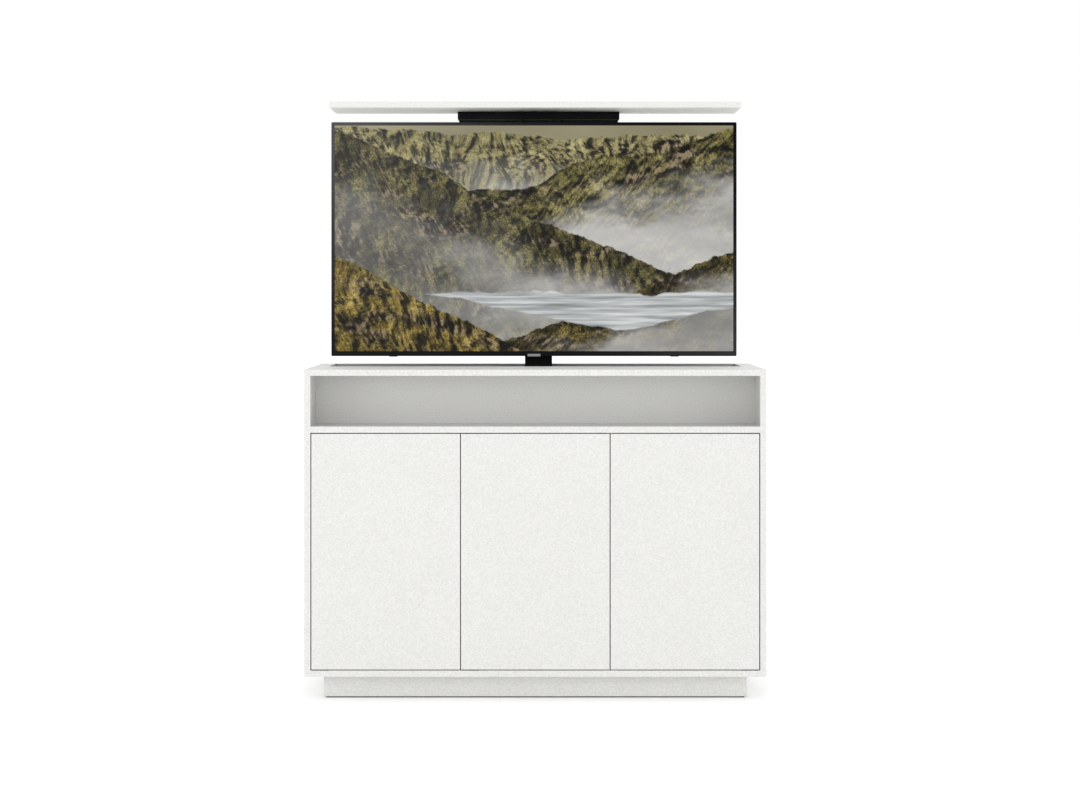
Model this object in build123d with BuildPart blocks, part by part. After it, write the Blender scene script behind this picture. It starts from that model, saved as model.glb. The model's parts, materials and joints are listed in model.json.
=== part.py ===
from build123d import *
import math
import os

# A cabinet with a motor-driven lift that raises a flat TV through a slot in its top, shown raised.
# Millimetres, +Z up. The origin is on the floor under the middle of the case. The front faces -Y.
# The rest position is the raised one. Each of the two sliding stages comes down by stage_travel.

os.makedirs("parts", exist_ok=True)

# Case
case_width = 1340.0
case_depth = 500.0
case_height = 890.0
board = 18.0
niche_height = 147.0
niche_depth = 150.0
niche_groove = 6.0
bay_depth = 227.0
partition_setback = 24.0

# Slot in the top and the lid that closes it
slot_side_margin = 46.0
lid_gap = 2.0

# Plinth and glides
plinth_height = 67.0
plinth_setback = 52.0
glide_height = 3.0
glide_radius = 7.0
glide_end_inset = 30.0

# Shelves
shelf_back_gap = 2.0
shelf_side_gap = 1.0
shelf_front_setback = 34.0
shelf_height = 330.0
pin_radius = 2.5
pin_web = 2.0
pin_reach = 9.0
pin_end_inset = 38.0
pin_pitch = 32.0
pin_rows = 5

# Doors, with a knife hinge at top and bottom of each
door_gap = 3.0
door_edge_round = 0.8
pivot_inset = 10.0
pivot_depth = 7.0
leaf_length = 50.0
leaf_width = 12.0
leaf_thickness = 2.0
leaf_inset = 2.0
leaf_corner = 1.5
hinge_pin_radius = 2.5
hinge_pin_reach = 6.0
hinge_boss_radius = 5.0
hinge_end_play = 0.1

# Push latches behind the free top corner of each door
latch_width = 16.0
latch_height = 16.0
latch_length = 58.0
latch_setback = 26.0
latch_edge_inset = 32.0
plunger_radius = 3.5
plunger_length = 34.0
plunger_travel = 3.0
latch_wall = 2.5

# Back panel
vent_length = 150.0
vent_width = 7.0
vent_pitch = 16.0
vent_count = 6
vent_x = 400.0
vent_rise = 120.0
vent_drop = 110.0
grommet_radius = 25.0
grommet_wall = 4.0
grommet_flange = 5.0
grommet_flange_thickness = 1.5
grommet_x = -250.0
grommet_rise = 160.0

# Fasteners
screw_radius = 1.75
screw_head_radius = 3.4
screw_length = 26.0
short_screw_length = 13.0
anchor_screw_length = 14.0
bolt_radius = 4.0
bolt_head_radius = 6.5
bolt_head_height = 4.5
bolt_length = 16.0
back_screw_rows = 5
back_screw_columns = 6
screw_end_inset = 60.0

# Clearances
fit_gap = 0.05
slide_gap = 0.3
loose_gap = 0.3
overrun = 5.0

# Lift column: three nested tubes
mast_x = 10.0
anchor_thickness = 4.0
outer_width = 94.0
outer_depth = 76.0
tube_wall = 2.5
tube_corner = 4.0
guide_gap = 2.5
belt_gap = 10.0
park_gap = 14.0
nut_room = 60.0
head_gap = 5.0
collar_flange = 4.0
collar_depth = 40.0
belt_channel = 34.0
spindle_reach = 20.0

# Lift base and drive
base_plate_thickness = 4.0
base_plate_left = 150.0
base_plate_right = 190.0
base_plate_front = 42.0
base_screw_inset = 15.0
drive_height = 30.0
drive_wall = 4.0
drive_left = 55.0
drive_end = 37.0
drive_corner = 12.0
motor_offset = 105.0
gear_head_radius = 26.0
gear_head_height = 34.0
motor_radius = 28.0
motor_height = 92.0
motor_neck_height = 4.0
motor_edge = 3.0
motor_cap_radius = 9.0
motor_cap_height = 5.0
motor_shaft_radius = 4.0
shaft_engagement = 14.0
spindle_radius = 8.0
journal_radius = 5.0
thread_pitch = 8.0
thread_depth = 1.6
nut_height = 44.0
nut_flange_height = 10.0
nut_radius = 14.0
pulley_clear = 3.0
pulley_flange = 1.5
pulley_lip = 2.5
tooth_width = 1.8
tooth_depth = 1.0
drive_belt_width = 12.0
drive_belt_thickness = 2.0
tooth_module = 1.6
motor_pulley_teeth = 12
spindle_pulley_teeth = 24

# Lifting belt between the stages
sync_belt_width = 14.0
sync_belt_thickness = 1.5
sync_radius = 7.0
sync_flange = 1.5
sync_axle_radius = 2.0
sync_end_inset = 16.0
sync_lip = 1.0
ear_thickness = 3.0
ear_height = 18.0
ear_depth = 16.0
window_clear = 1.5
clamp_width = 46.0
clamp_height = 20.0

# Upper anchor of the column
anchor_width = 200.0
anchor_height = 40.0
anchor_drop = 72.0

# Control box
box_width = 160.0
box_height = 50.0
box_depth = 66.0
box_wall = 2.5
box_gap = 21.0
box_back_gap = 6.0
box_ear = 14.0
box_vents = 9
inlet_width = 27.0
inlet_height = 20.0
inlet_depth = 18.0
inlet_flange = 3.0
inlet_flange_thickness = 1.5
inlet_recess = 13.0
inlet_wall = 2.5
blade_width = 4.0
blade_thickness = 1.5
blade_length = 11.0
blade_pitch = 7.0

# Head, lid bracket and TV bracket
lid_bracket_width = 500.0
lid_bracket_height = 23.0
lid_bracket_setback = 1.2
crossbar_inset = 4.5
crossbar_height = 40.0
crossbar_margin = 1.8
sheet = 2.5
drop_arm_width = 19.0
drop_arm_depth = 38.0
drop_arm_tail = 61.0
drop_arm_clear = 2.8
rail_end = 40.0
rail_height = 40.0
rail_depth = 10.0
rail_spread = 260.0
tv_arm_width = 28.0
tv_arm_depth = 12.0
tv_arm_end = 20.0
tv_arm_slot = 30.0
tv_arm_slot_width = 9.0
vesa_pitch = 400.0
lid_screw_inset = 30.0
lid_edge_round = 1.0
hook_reach = 5.0
hook_height = 8.0

# TV
tv_x = -4.0
tv_width = 1230.0
tv_height = 710.0
tv_depth = 59.8
tv_lift_clear = 30.0
tv_lid_gap = 42.0
tv_bezel_side = 10.0
tv_bezel_top = 10.0
tv_bezel_bottom = 15.0
tv_bezel_depth = 15.0
tv_bezel_wall = 3.0
tv_lip = 2.5
tv_panel_thickness = 2.2
tv_chassis_sheet = 1.0
tv_rim_depth = 10.0
tv_cover_wall = 2.5
tv_bulge_side = 105.0
tv_bulge_end = 15.0
tv_bulge_slope = 60.0
tv_bulge_corner = 12.0
tv_corner = 4.0
tv_boss_radius = 9.0
tv_boss_bore = 22.0
tv_foot_width = 24.0
tv_foot_height = 1.8
tv_foot_spread = 854.0
tv_board_gap = 6.0
tv_board_thickness = 1.6
tv_standoff_radius = 3.0
tv_standoff_inset = 8.0
main_board_width = 190.0
main_board_height = 150.0
main_board_x = 330.0
power_board_width = 230.0
power_board_height = 170.0
power_board_x = -330.0
heat_sink_size = 46.0
heat_sink_height = 14.0
transformer_width = 60.0
transformer_height = 44.0
transformer_depth = 22.0
capacitor_radius = 9.0
capacitor_height = 24.0
capacitor_pitch = 26.0
socket_length = 90.0
socket_width = 16.0
socket_depth = 12.0
speaker_width = 150.0
speaker_height = 36.0
speaker_depth = 22.0
speaker_x = 330.0
speaker_rise = 40.0
tv_vent_slots = 26
tv_vent_pitch = 20.0
tv_vent_width = 4.0
tv_vent_length = 34.0
nameplate_width = 39.0
nameplate_height = 7.5
nameplate_thickness = 1.0
nameplate_hang = 0.6

# Places that follow from the sizes above
front_y = -case_depth / 2
back_y = case_depth / 2
back_face = back_y - board
half_width = case_width / 2
inner_half = half_width - board
base_z = glide_height + plinth_height
floor_z = base_z + board
case_top = base_z + case_height
niche_top = case_top - board
niche_low = niche_top - niche_height
opening_top = niche_low - board
slot_front = back_face - bay_depth
bay_wall_y = slot_front - board
slot_half = half_width - slot_side_margin

door_width = (2 * inner_half - 4 * door_gap) / 3
door_height = opening_top - floor_z - 2 * door_gap
door_pitch = door_width + door_gap
door_low = floor_z + door_gap
door_high = opening_top - door_gap
door_back = front_y + board
leaf_y = front_y + board / 2
pivot_y = front_y + pivot_depth
seam_x = door_pitch / 2

# Each door's middle along X, and the side its hinges are on
doors = {"left": (-door_pitch, -1), "center": (0, -1), "right": (door_pitch, 1)}

mast_back = back_face - anchor_thickness
mast_front = mast_back - outer_depth
middle_width = outer_width - 2 * (tube_wall + guide_gap)
middle_front = mast_front + tube_wall + guide_gap
middle_depth = outer_depth - 2 * tube_wall - guide_gap - belt_gap
middle_back = middle_front + middle_depth
inner_width = middle_width - 2 * (tube_wall + guide_gap)
inner_front = middle_front + tube_wall + guide_gap
inner_depth = middle_depth - 2 * tube_wall - guide_gap - belt_gap
inner_back = inner_front + inner_depth
spindle_y = inner_front + inner_depth / 2
motor_x = mast_x + motor_offset

stage_travel = (tv_lift_clear + tv_height + tv_lid_gap + board) / 2
lid_top = case_top + 2 * stage_travel
lid_low = lid_top - board
bracket_low = lid_low - lid_bracket_height
inner_high = bracket_low - crossbar_height
middle_high = inner_high - stage_travel - head_gap - collar_flange
outer_high = middle_high - stage_travel - 2 * collar_flange
plate_top = floor_z + base_plate_thickness
drive_top = plate_top + drive_height
outer_low = drive_top + drive_wall
middle_low = outer_low + park_gap + stage_travel
inner_low = middle_low + nut_room + stage_travel
collar_top = outer_high + collar_flange

tv_low = case_top + tv_lift_clear
tv_high = tv_low + tv_height
tv_mid = (tv_low + tv_high) / 2
crossbar_front = mast_front + drop_arm_clear
arm_front = crossbar_front - drop_arm_depth
rail_front = arm_front - rail_depth
tv_back = rail_front - tv_arm_depth
tv_front = tv_back - tv_depth
tv_frame_back = tv_front + tv_bezel_depth
crossbar_back = inner_back + crossbar_margin
crossbar_width = lid_bracket_width - 2 * crossbar_inset
drop_arm_gap = outer_width + 2 * drop_arm_clear
rail_zs = [tv_mid + side * rail_spread / 2 for side in (-1, 1)]
drop_arm_low = rail_zs[0] - rail_height / 2 - drop_arm_tail
rail_length = vesa_pitch + 2 * rail_end
tv_arm_length = vesa_pitch + 2 * tv_arm_end
tv_bulge_width = tv_width - 2 * tv_bulge_side - 2 * tv_bulge_slope
tv_bulge_height = tv_height - 2 * tv_bulge_end - 2 * tv_bulge_slope


def keep(piece, label):
    """Names a finished piece and writes its STEP file."""
    piece.label = label
    export_step(piece, f"parts/{label}.step")


def slab(x_low, x_high, y_low, y_high, z_low, z_high, mode=Mode.ADD):
    """A straight block between two corners, in the part being built."""
    with Locations(((x_low + x_high) / 2, (y_low + y_high) / 2, (z_low + z_high) / 2)):
        Box(x_high - x_low, y_high - y_low, z_high - z_low, mode=mode)


def rod(start, direction, radius, length, mode=Mode.ADD):
    """A round bar from a point, along a direction."""
    with Locations(Plane(origin=start, z_dir=direction).location):
        Cylinder(radius, length, align=(Align.CENTER, Align.CENTER, Align.MIN), mode=mode)


def wood_screw(spot, normal, length, grow=0, mode=Mode.ADD):
    """A countersunk screw with its head flush at a spot, or the hole for it. The normal points out of the board."""
    head_height = screw_head_radius - screw_radius
    with Locations(Plane(origin=spot, z_dir=normal).location):
        Cone(
            screw_radius + grow,
            screw_head_radius + grow,
            head_height,
            align=(Align.CENTER, Align.CENTER, Align.MAX),
            mode=mode,
        )
        Cylinder(screw_radius + grow, length, align=(Align.CENTER, Align.CENTER, Align.MAX), mode=mode)


def bolt(spot, normal, length):
    """A round-headed machine bolt with its head standing on the face at a spot."""
    with Locations(Plane(origin=spot, z_dir=normal).location):
        Cylinder(bolt_head_radius, bolt_head_height, align=(Align.CENTER, Align.CENTER, Align.MIN))
        Cylinder(bolt_radius, length, align=(Align.CENTER, Align.CENTER, Align.MAX))


def prism_y(points, y_low, y_high, mode=Mode.ADD):
    """An outline in X and Z, drawn out between two places along Y."""
    with BuildSketch(Plane.XZ.offset(-y_high)) as outline:
        with BuildLine():
            Polyline(*points, close=True)
        make_face()
    extrude(outline.sketch, amount=y_high - y_low, mode=mode)


def tube(x_mid, y_low, width, depth, corner, wall, z_low, z_high, mode=Mode.ADD):
    """A rounded rectangular tube standing along Z, with its outline and wall given."""
    with BuildSketch(Plane.XY.offset(z_low)) as ring:
        with Locations((x_mid, y_low + depth / 2)):
            RectangleRounded(width, depth, corner)
            RectangleRounded(width - 2 * wall, depth - 2 * wall, corner - wall, mode=Mode.SUBTRACT)
    extrude(ring.sketch, amount=z_high - z_low, mode=mode)


def post(x_mid, y_low, width, depth, corner, z_low, z_high, mode=Mode.ADD):
    """A solid rounded rectangular bar standing along Z."""
    with BuildSketch(Plane.XY.offset(z_low)) as outline:
        with Locations((x_mid, y_low + depth / 2)):
            RectangleRounded(width, depth, corner)
    extrude(outline.sketch, amount=z_high - z_low, mode=mode)


def loop(ends, radii, z_low, z_high, mode=Mode.ADD):
    """The outline of a belt stretched round two circles, drawn out along Z."""
    with BuildSketch(Plane.XY.offset(z_low)) as outline:
        for end, radius in zip(ends, radii):
            with Locations(end):
                Circle(radius)
        make_hull()
    extrude(outline.sketch, amount=z_high - z_low, mode=mode)


# Case

rebate = board / 2
panel_edge = inner_half + rebate
panel_low = floor_z - rebate
panel_high = niche_top + rebate
back_columns = [
    -inner_half + screw_end_inset + step * (2 * inner_half - 2 * screw_end_inset) / (back_screw_columns - 1)
    for step in range(back_screw_columns)
]
back_rows = [
    floor_z + screw_end_inset + step * (niche_top - floor_z - 2 * screw_end_inset) / (back_screw_rows - 1)
    for step in range(back_screw_rows)
]
back_spots = [(x, back_y, floor_z - rebate / 2) for x in back_columns]
back_spots += [(side * (inner_half + rebate / 2), back_y, z) for side in (-1, 1) for z in back_rows]

anchor_top = outer_high - anchor_drop + anchor_height
anchor_spots = [
    (mast_x + side * (anchor_width / 2 - base_screw_inset), mast_back, anchor_top - share * anchor_height)
    for side in (-1, 1)
    for share in (1 / 4, 3 / 4)
]

plate_left = mast_x - base_plate_left
plate_right = mast_x + base_plate_right
plate_front = mast_front - base_plate_front
base_spots = [
    (x, y, plate_top)
    for x in (plate_left + base_screw_inset, plate_right - base_screw_inset)
    for y in (plate_front + base_screw_inset, mast_back - base_screw_inset)
]

box_back = back_face - box_back_gap
box_front = box_back - box_depth
box_right = plate_left - box_gap - box_ear
box_left = box_right - box_width
box_x = (box_left + box_right) / 2
box_spots = [
    (x, y, floor_z + box_wall)
    for x in (box_left - box_ear / 2, box_right + box_ear / 2)
    for y in (box_front + box_depth / 4, box_back - box_depth / 4)
]
floor_spots = base_spots + box_spots

shelf_top = floor_z + shelf_height
shelf_low = shelf_top - board
shelf_front = front_y + shelf_front_setback
shelf_back = bay_wall_y - shelf_back_gap
pin_z = shelf_low - pin_radius
pin_depth = (board - pin_web) / 2
pin_columns = (shelf_front + pin_end_inset, shelf_back - pin_end_inset)
pin_heights = [pin_z + (row - (pin_rows - 1) / 2) * pin_pitch for row in range(pin_rows)]

# Each storage compartment's two inner faces
compartments = [
    (-inner_half, -seam_x - board / 2),
    (-seam_x + board / 2, seam_x - board / 2),
    (seam_x + board / 2, inner_half),
]


def pin_holes(face_x, into):
    """Blind holes for the shelf pins in a face, going into the board along X."""
    for y in pin_columns:
        for z in pin_heights:
            rod((face_x, y, z), (into, 0, 0), pin_radius, pin_depth, mode=Mode.SUBTRACT)


def side_panel(side):
    """One mitred side, rebated for the back panel."""
    with BuildPart() as panel:
        prism_y(
            (
                (side * half_width, base_z),
                (side * inner_half, floor_z),
                (side * inner_half, niche_top),
                (side * half_width, case_top),
            ),
            front_y,
            back_y,
        )
        reach = sorted((side * (inner_half - overrun), side * panel_edge))
        slab(reach[0], reach[1], back_face, back_y + overrun, panel_low, panel_high, mode=Mode.SUBTRACT)
        pin_holes(side * inner_half, side)
        for spot in back_spots:
            wood_screw(spot, (0, 1, 0), screw_length, mode=Mode.SUBTRACT)
    return panel.part


keep(side_panel(-1), "left_side_panel")
keep(side_panel(1), "right_side_panel")

with BuildPart() as top_panel:
    prism_y(
        (
            (-half_width, case_top),
            (half_width, case_top),
            (inner_half, niche_top),
            (-inner_half, niche_top),
        ),
        front_y,
        back_y,
    )
    slab(
        -panel_edge,
        panel_edge,
        back_face,
        back_y + overrun,
        niche_top - overrun,
        panel_high,
        mode=Mode.SUBTRACT,
    )
    slab(
        -slot_half,
        slot_half,
        slot_front,
        back_face,
        niche_top - overrun,
        case_top + overrun,
        mode=Mode.SUBTRACT,
    )
keep(top_panel.part, "top_panel")


def hinge_edge(name):
    """Where a door's hinged edge is along X."""
    middle, side = doors[name]
    return middle + side * door_width / 2


def pivot_x(name):
    """Where a door's hinge pins are along X."""
    return hinge_edge(name) - doors[name][1] * pivot_inset


def leaf(name, z_low, z_high, mode=Mode.ADD):
    """One flat hinge leaf of a door, or the recess for it."""
    middle_x = hinge_edge(name) - doors[name][1] * (leaf_inset + leaf_length / 2)
    post(middle_x, leaf_y - leaf_width / 2, leaf_length, leaf_width, leaf_corner, z_low, z_high, mode=mode)


with BuildPart() as bottom_panel:
    prism_y(
        (
            (-half_width, base_z),
            (half_width, base_z),
            (inner_half, floor_z),
            (-inner_half, floor_z),
        ),
        front_y,
        back_y,
    )
    slab(
        -panel_edge,
        panel_edge,
        back_face,
        back_y + overrun,
        panel_low,
        floor_z + overrun,
        mode=Mode.SUBTRACT,
    )
    for name in doors:
        leaf(name, floor_z - leaf_thickness, floor_z, mode=Mode.SUBTRACT)
    for spot in back_spots:
        wood_screw(spot, (0, 1, 0), screw_length, mode=Mode.SUBTRACT)
    for spot in floor_spots:
        wood_screw(spot, (0, 0, 1), short_screw_length, mode=Mode.SUBTRACT)
keep(bottom_panel.part, "bottom_panel")

niche_wall_y = front_y + niche_depth

with BuildPart() as divider_panel:
    slab(-inner_half, inner_half, front_y, slot_front, opening_top, niche_low)
    slab(
        -inner_half,
        inner_half,
        niche_wall_y,
        niche_wall_y + board,
        niche_low - niche_groove,
        niche_low,
        mode=Mode.SUBTRACT,
    )
    for name in doors:
        leaf(name, opening_top, opening_top + leaf_thickness, mode=Mode.SUBTRACT)
keep(divider_panel.part, "divider_panel")

with BuildPart() as niche_back_panel:
    slab(
        -inner_half,
        inner_half,
        niche_wall_y,
        niche_wall_y + board,
        niche_low - niche_groove,
        niche_top,
    )
keep(niche_back_panel.part, "niche_back_panel")

with BuildPart() as partitions:
    for side in (-1, 1):
        slab(
            side * seam_x - board / 2,
            side * seam_x + board / 2,
            front_y + partition_setback,
            bay_wall_y,
            floor_z,
            opening_top,
        )
    for side in (-1, 1):
        pin_holes(side * seam_x - board / 2, 1)
        pin_holes(side * seam_x + board / 2, -1)
keep(partitions.part, "partitions")

with BuildPart() as bay_front_panel:
    slab(-inner_half, inner_half, bay_wall_y, slot_front, floor_z, opening_top)
keep(bay_front_panel.part, "bay_front_panel")

grommet_z = floor_z + grommet_rise
vent_rows = [floor_z + vent_rise + row * vent_pitch for row in range(vent_count)]
vent_rows += [niche_top - vent_drop - row * vent_pitch for row in range(vent_count)]

with BuildPart() as back_panel:
    slab(-panel_edge, panel_edge, back_face, back_y, panel_low, panel_high)
    for x in (-vent_x, vent_x):
        for z in vent_rows:
            with BuildSketch(Plane.XZ.offset(-back_y)) as vent:
                with Locations((x, z)):
                    SlotOverall(vent_length, vent_width)
            extrude(vent.sketch, amount=board, mode=Mode.SUBTRACT)
    rod((grommet_x, back_face, grommet_z), (0, 1, 0), grommet_radius, board, mode=Mode.SUBTRACT)
    for spot in back_spots:
        wood_screw(spot, (0, 1, 0), screw_length, mode=Mode.SUBTRACT)
    for spot in anchor_spots:
        wood_screw(spot, (0, -1, 0), anchor_screw_length, mode=Mode.SUBTRACT)
keep(back_panel.part, "back_panel")

with BuildPart() as cable_grommet:
    rod((grommet_x, back_face, grommet_z), (0, 1, 0), grommet_radius, board)
    rod(
        (grommet_x, back_face, grommet_z),
        (0, -1, 0),
        grommet_radius + grommet_flange,
        grommet_flange_thickness,
    )
    rod(
        (grommet_x, back_face - overrun, grommet_z),
        (0, 1, 0),
        grommet_radius - grommet_wall,
        board + 2 * overrun,
        mode=Mode.SUBTRACT,
    )
keep(cable_grommet.part, "cable_grommet")

with BuildPart() as case_screws:
    for spot in back_spots:
        wood_screw(spot, (0, 1, 0), screw_length)
    for spot in anchor_spots:
        wood_screw(spot, (0, -1, 0), anchor_screw_length)
    for spot in floor_spots:
        wood_screw(spot, (0, 0, 1), short_screw_length)
keep(case_screws.part, "case_screws")

# Plinth, on low glides that leave a thin shadow line over the floor

plinth_half = half_width - plinth_setback
plinth_front_y = front_y + plinth_setback
plinth_back_y = back_y - plinth_setback
glide_xs = (-plinth_half + glide_end_inset, 0, plinth_half - glide_end_inset)

with BuildPart() as plinth_front:
    slab(-plinth_half, plinth_half, plinth_front_y, plinth_front_y + board, glide_height, base_z)
keep(plinth_front.part, "plinth_front")

with BuildPart() as plinth_frame:
    slab(-plinth_half, plinth_half, plinth_back_y - board, plinth_back_y, glide_height, base_z)
    for x in (-plinth_half + board / 2, -seam_x, seam_x, plinth_half - board / 2):
        slab(
            x - board / 2,
            x + board / 2,
            plinth_front_y + board,
            plinth_back_y - board,
            glide_height,
            base_z,
        )
keep(plinth_frame.part, "plinth_frame")

with BuildPart() as foot_glides:
    for x in glide_xs:
        for y in (plinth_front_y + board / 2, plinth_back_y - board / 2):
            rod((x, y, 0), (0, 0, 1), glide_radius, glide_height)
keep(foot_glides.part, "foot_glides")

# Shelves on pins

with BuildPart() as shelves:
    for left, right in compartments:
        slab(left + shelf_side_gap, right - shelf_side_gap, shelf_front, shelf_back, shelf_low, shelf_top)
keep(shelves.part, "shelves")

with BuildPart() as shelf_pins:
    for left, right in compartments:
        for y in pin_columns:
            rod((left - pin_depth, y, pin_z), (1, 0, 0), pin_radius, pin_depth + pin_reach)
            rod((right + pin_depth, y, pin_z), (-1, 0, 0), pin_radius, pin_depth + pin_reach)
keep(shelf_pins.part, "shelf_pins")

# Doors, their knife hinges and push latches


def door(name):
    """One inset door with recesses for its two hinge leaves."""
    middle = doors[name][0]
    pin_bore = hinge_pin_radius + loose_gap
    with BuildPart() as panel:
        slab(
            middle - door_width / 2,
            middle + door_width / 2,
            front_y,
            door_back,
            door_low,
            door_high,
        )
        fillet(panel.edges().group_by(Axis.Y)[0], door_edge_round)
        leaf(name, door_low, door_low + leaf_thickness, mode=Mode.SUBTRACT)
        leaf(name, door_high - leaf_thickness, door_high, mode=Mode.SUBTRACT)
        spot = (pivot_x(name), pivot_y)
        bore_depth = hinge_pin_reach + hinge_pin_radius
        rod((*spot, door_low), (0, 0, 1), pin_bore, bore_depth, mode=Mode.SUBTRACT)
        rod((*spot, door_high), (0, 0, -1), pin_bore, bore_depth, mode=Mode.SUBTRACT)
    return panel.part


def door_leaves(name):
    """The two hinge leaves let into a door's top and bottom edges."""
    with BuildPart() as leaves:
        leaf(name, door_low, door_low + leaf_thickness)
        leaf(name, door_high - leaf_thickness, door_high)
        start = (pivot_x(name), pivot_y, door_low - overrun)
        length = door_height + 2 * overrun
        rod(start, (0, 0, 1), hinge_pin_radius + fit_gap, length, mode=Mode.SUBTRACT)
    return leaves.part


for name in doors:
    keep(door(name), f"{name}_door")
    keep(door_leaves(name), f"{name}_door_hinge_leaves")

with BuildPart() as case_hinge_leaves:
    for name in doors:
        leaf(name, floor_z - leaf_thickness, floor_z)
        leaf(name, opening_top, opening_top + leaf_thickness)
        spot = (pivot_x(name), pivot_y)
        for z, up in ((floor_z, 1), (opening_top, -1)):
            rod((*spot, z), (0, 0, up), hinge_boss_radius, door_gap - hinge_end_play)
            rod((*spot, z), (0, 0, up), hinge_pin_radius, door_gap + hinge_pin_reach)
keep(case_hinge_leaves.part, "case_hinge_leaves")

latch_front = front_y + latch_setback
latch_z = opening_top - latch_height / 2
plunger_tip = door_back + loose_gap
plunger_end = plunger_tip + plunger_length


def latch_x(name):
    """Where a door's latch is along X, near its free edge."""
    middle, side = doors[name]
    return middle - side * (door_width / 2 - latch_edge_inset)


def plunger(name):
    """One latch plunger with a rounded tip."""
    with BuildPart() as pin:
        rod((latch_x(name), plunger_tip, latch_z), (0, 1, 0), plunger_radius, plunger_length)
        fillet(pin.edges().group_by(Axis.Y)[0], plunger_radius / 2)
    return pin.part


with BuildPart() as latch_bodies:
    for name in doors:
        x = latch_x(name)
        slab(
            x - latch_width / 2,
            x + latch_width / 2,
            latch_front,
            latch_front + latch_length,
            opening_top - latch_height,
            opening_top,
        )
        bore_end = plunger_end + plunger_travel + latch_wall
        rod(
            (x, latch_front - overrun, latch_z),
            (0, 1, 0),
            plunger_radius + fit_gap,
            bore_end - latch_front + overrun,
            mode=Mode.SUBTRACT,
        )
keep(latch_bodies.part, "latch_bodies")

for name in doors:
    keep(plunger(name), f"{name}_latch_plunger")

# Lift base: plate, drive case, motor, column anchor and control box

with BuildPart() as lift_base_plate:
    slab(plate_left, plate_right, plate_front, mast_back, floor_z, plate_top)
    for spot in base_spots:
        wood_screw(spot, (0, 0, 1), short_screw_length, mode=Mode.SUBTRACT)
keep(lift_base_plate.part, "lift_base_plate")

with BuildPart() as column_anchor:
    slab(
        mast_x - anchor_width / 2,
        mast_x + anchor_width / 2,
        mast_back,
        back_face,
        anchor_top - anchor_height,
        anchor_top,
    )
    for spot in anchor_spots:
        wood_screw(spot, (0, -1, 0), anchor_screw_length, mode=Mode.SUBTRACT)
keep(column_anchor.part, "column_anchor")

drive_width = drive_left + motor_offset + drive_end
drive_middle = mast_x - drive_left + drive_width / 2
motor_pulley_radius = motor_pulley_teeth * tooth_module / 2
spindle_pulley_radius = spindle_pulley_teeth * tooth_module / 2
pulley_low = plate_top + drive_wall + pulley_clear
pulley_high = pulley_low + 2 * pulley_flange + 2 * loose_gap + drive_belt_width
drive_centers = ((mast_x, spindle_y), (motor_x, spindle_y))
belt_inner = (spindle_pulley_radius + loose_gap, motor_pulley_radius + loose_gap)
belt_outer = tuple(radius + drive_belt_thickness for radius in belt_inner)

with BuildPart() as drive_case:
    post(drive_middle, mast_front, drive_width, outer_depth, drive_corner, plate_top, drive_top)
    post(
        drive_middle,
        mast_front + drive_wall,
        drive_width - 2 * drive_wall,
        outer_depth - 2 * drive_wall,
        drive_corner - drive_wall,
        plate_top + drive_wall,
        drive_top,
        mode=Mode.SUBTRACT,
    )
keep(drive_case.part, "drive_case")

with BuildPart() as drive_case_cover:
    post(drive_middle, mast_front, drive_width, outer_depth, drive_corner, drive_top, outer_low)
    rod((mast_x, spindle_y, drive_top), (0, 0, 1), journal_radius + fit_gap, drive_wall, mode=Mode.SUBTRACT)
    rod(
        (motor_x, spindle_y, drive_top),
        (0, 0, 1),
        motor_shaft_radius + loose_gap,
        drive_wall,
        mode=Mode.SUBTRACT,
    )
keep(drive_case_cover.part, "drive_case_cover")

with BuildPart() as drive_belt:
    belt_low = pulley_low + pulley_flange + loose_gap
    loop(drive_centers, belt_outer, belt_low, belt_low + drive_belt_width)
    loop(drive_centers, belt_inner, belt_low, belt_low + drive_belt_width, mode=Mode.SUBTRACT)
keep(drive_belt.part, "drive_belt")


def toothed_pulley(spot, radius, teeth):
    """A belt pulley with two flanges and a groove between each pair of teeth."""
    with Locations((*spot, pulley_low)):
        Cylinder(
            radius + pulley_lip,
            pulley_high - pulley_low,
            align=(Align.CENTER, Align.CENTER, Align.MIN),
        )
    tube_low = pulley_low + pulley_flange
    tube_high = pulley_high - pulley_flange
    with BuildSketch(Plane.XY.offset(tube_low)) as space:
        with Locations(spot):
            Circle(radius + pulley_lip + overrun)
            Circle(radius, mode=Mode.SUBTRACT)
        with Locations(spot):
            with PolarLocations(radius - tooth_depth / 2, teeth):
                Rectangle(tooth_depth, tooth_width)
    extrude(space.sketch, amount=tube_high - tube_low, mode=Mode.SUBTRACT)


with BuildPart() as motor_pulley:
    toothed_pulley(drive_centers[1], motor_pulley_radius, motor_pulley_teeth)
    rod(
        (motor_x, spindle_y, pulley_low),
        (0, 0, 1),
        motor_shaft_radius,
        outer_low + shaft_engagement - pulley_low,
    )
keep(motor_pulley.part, "motor_pulley")

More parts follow.
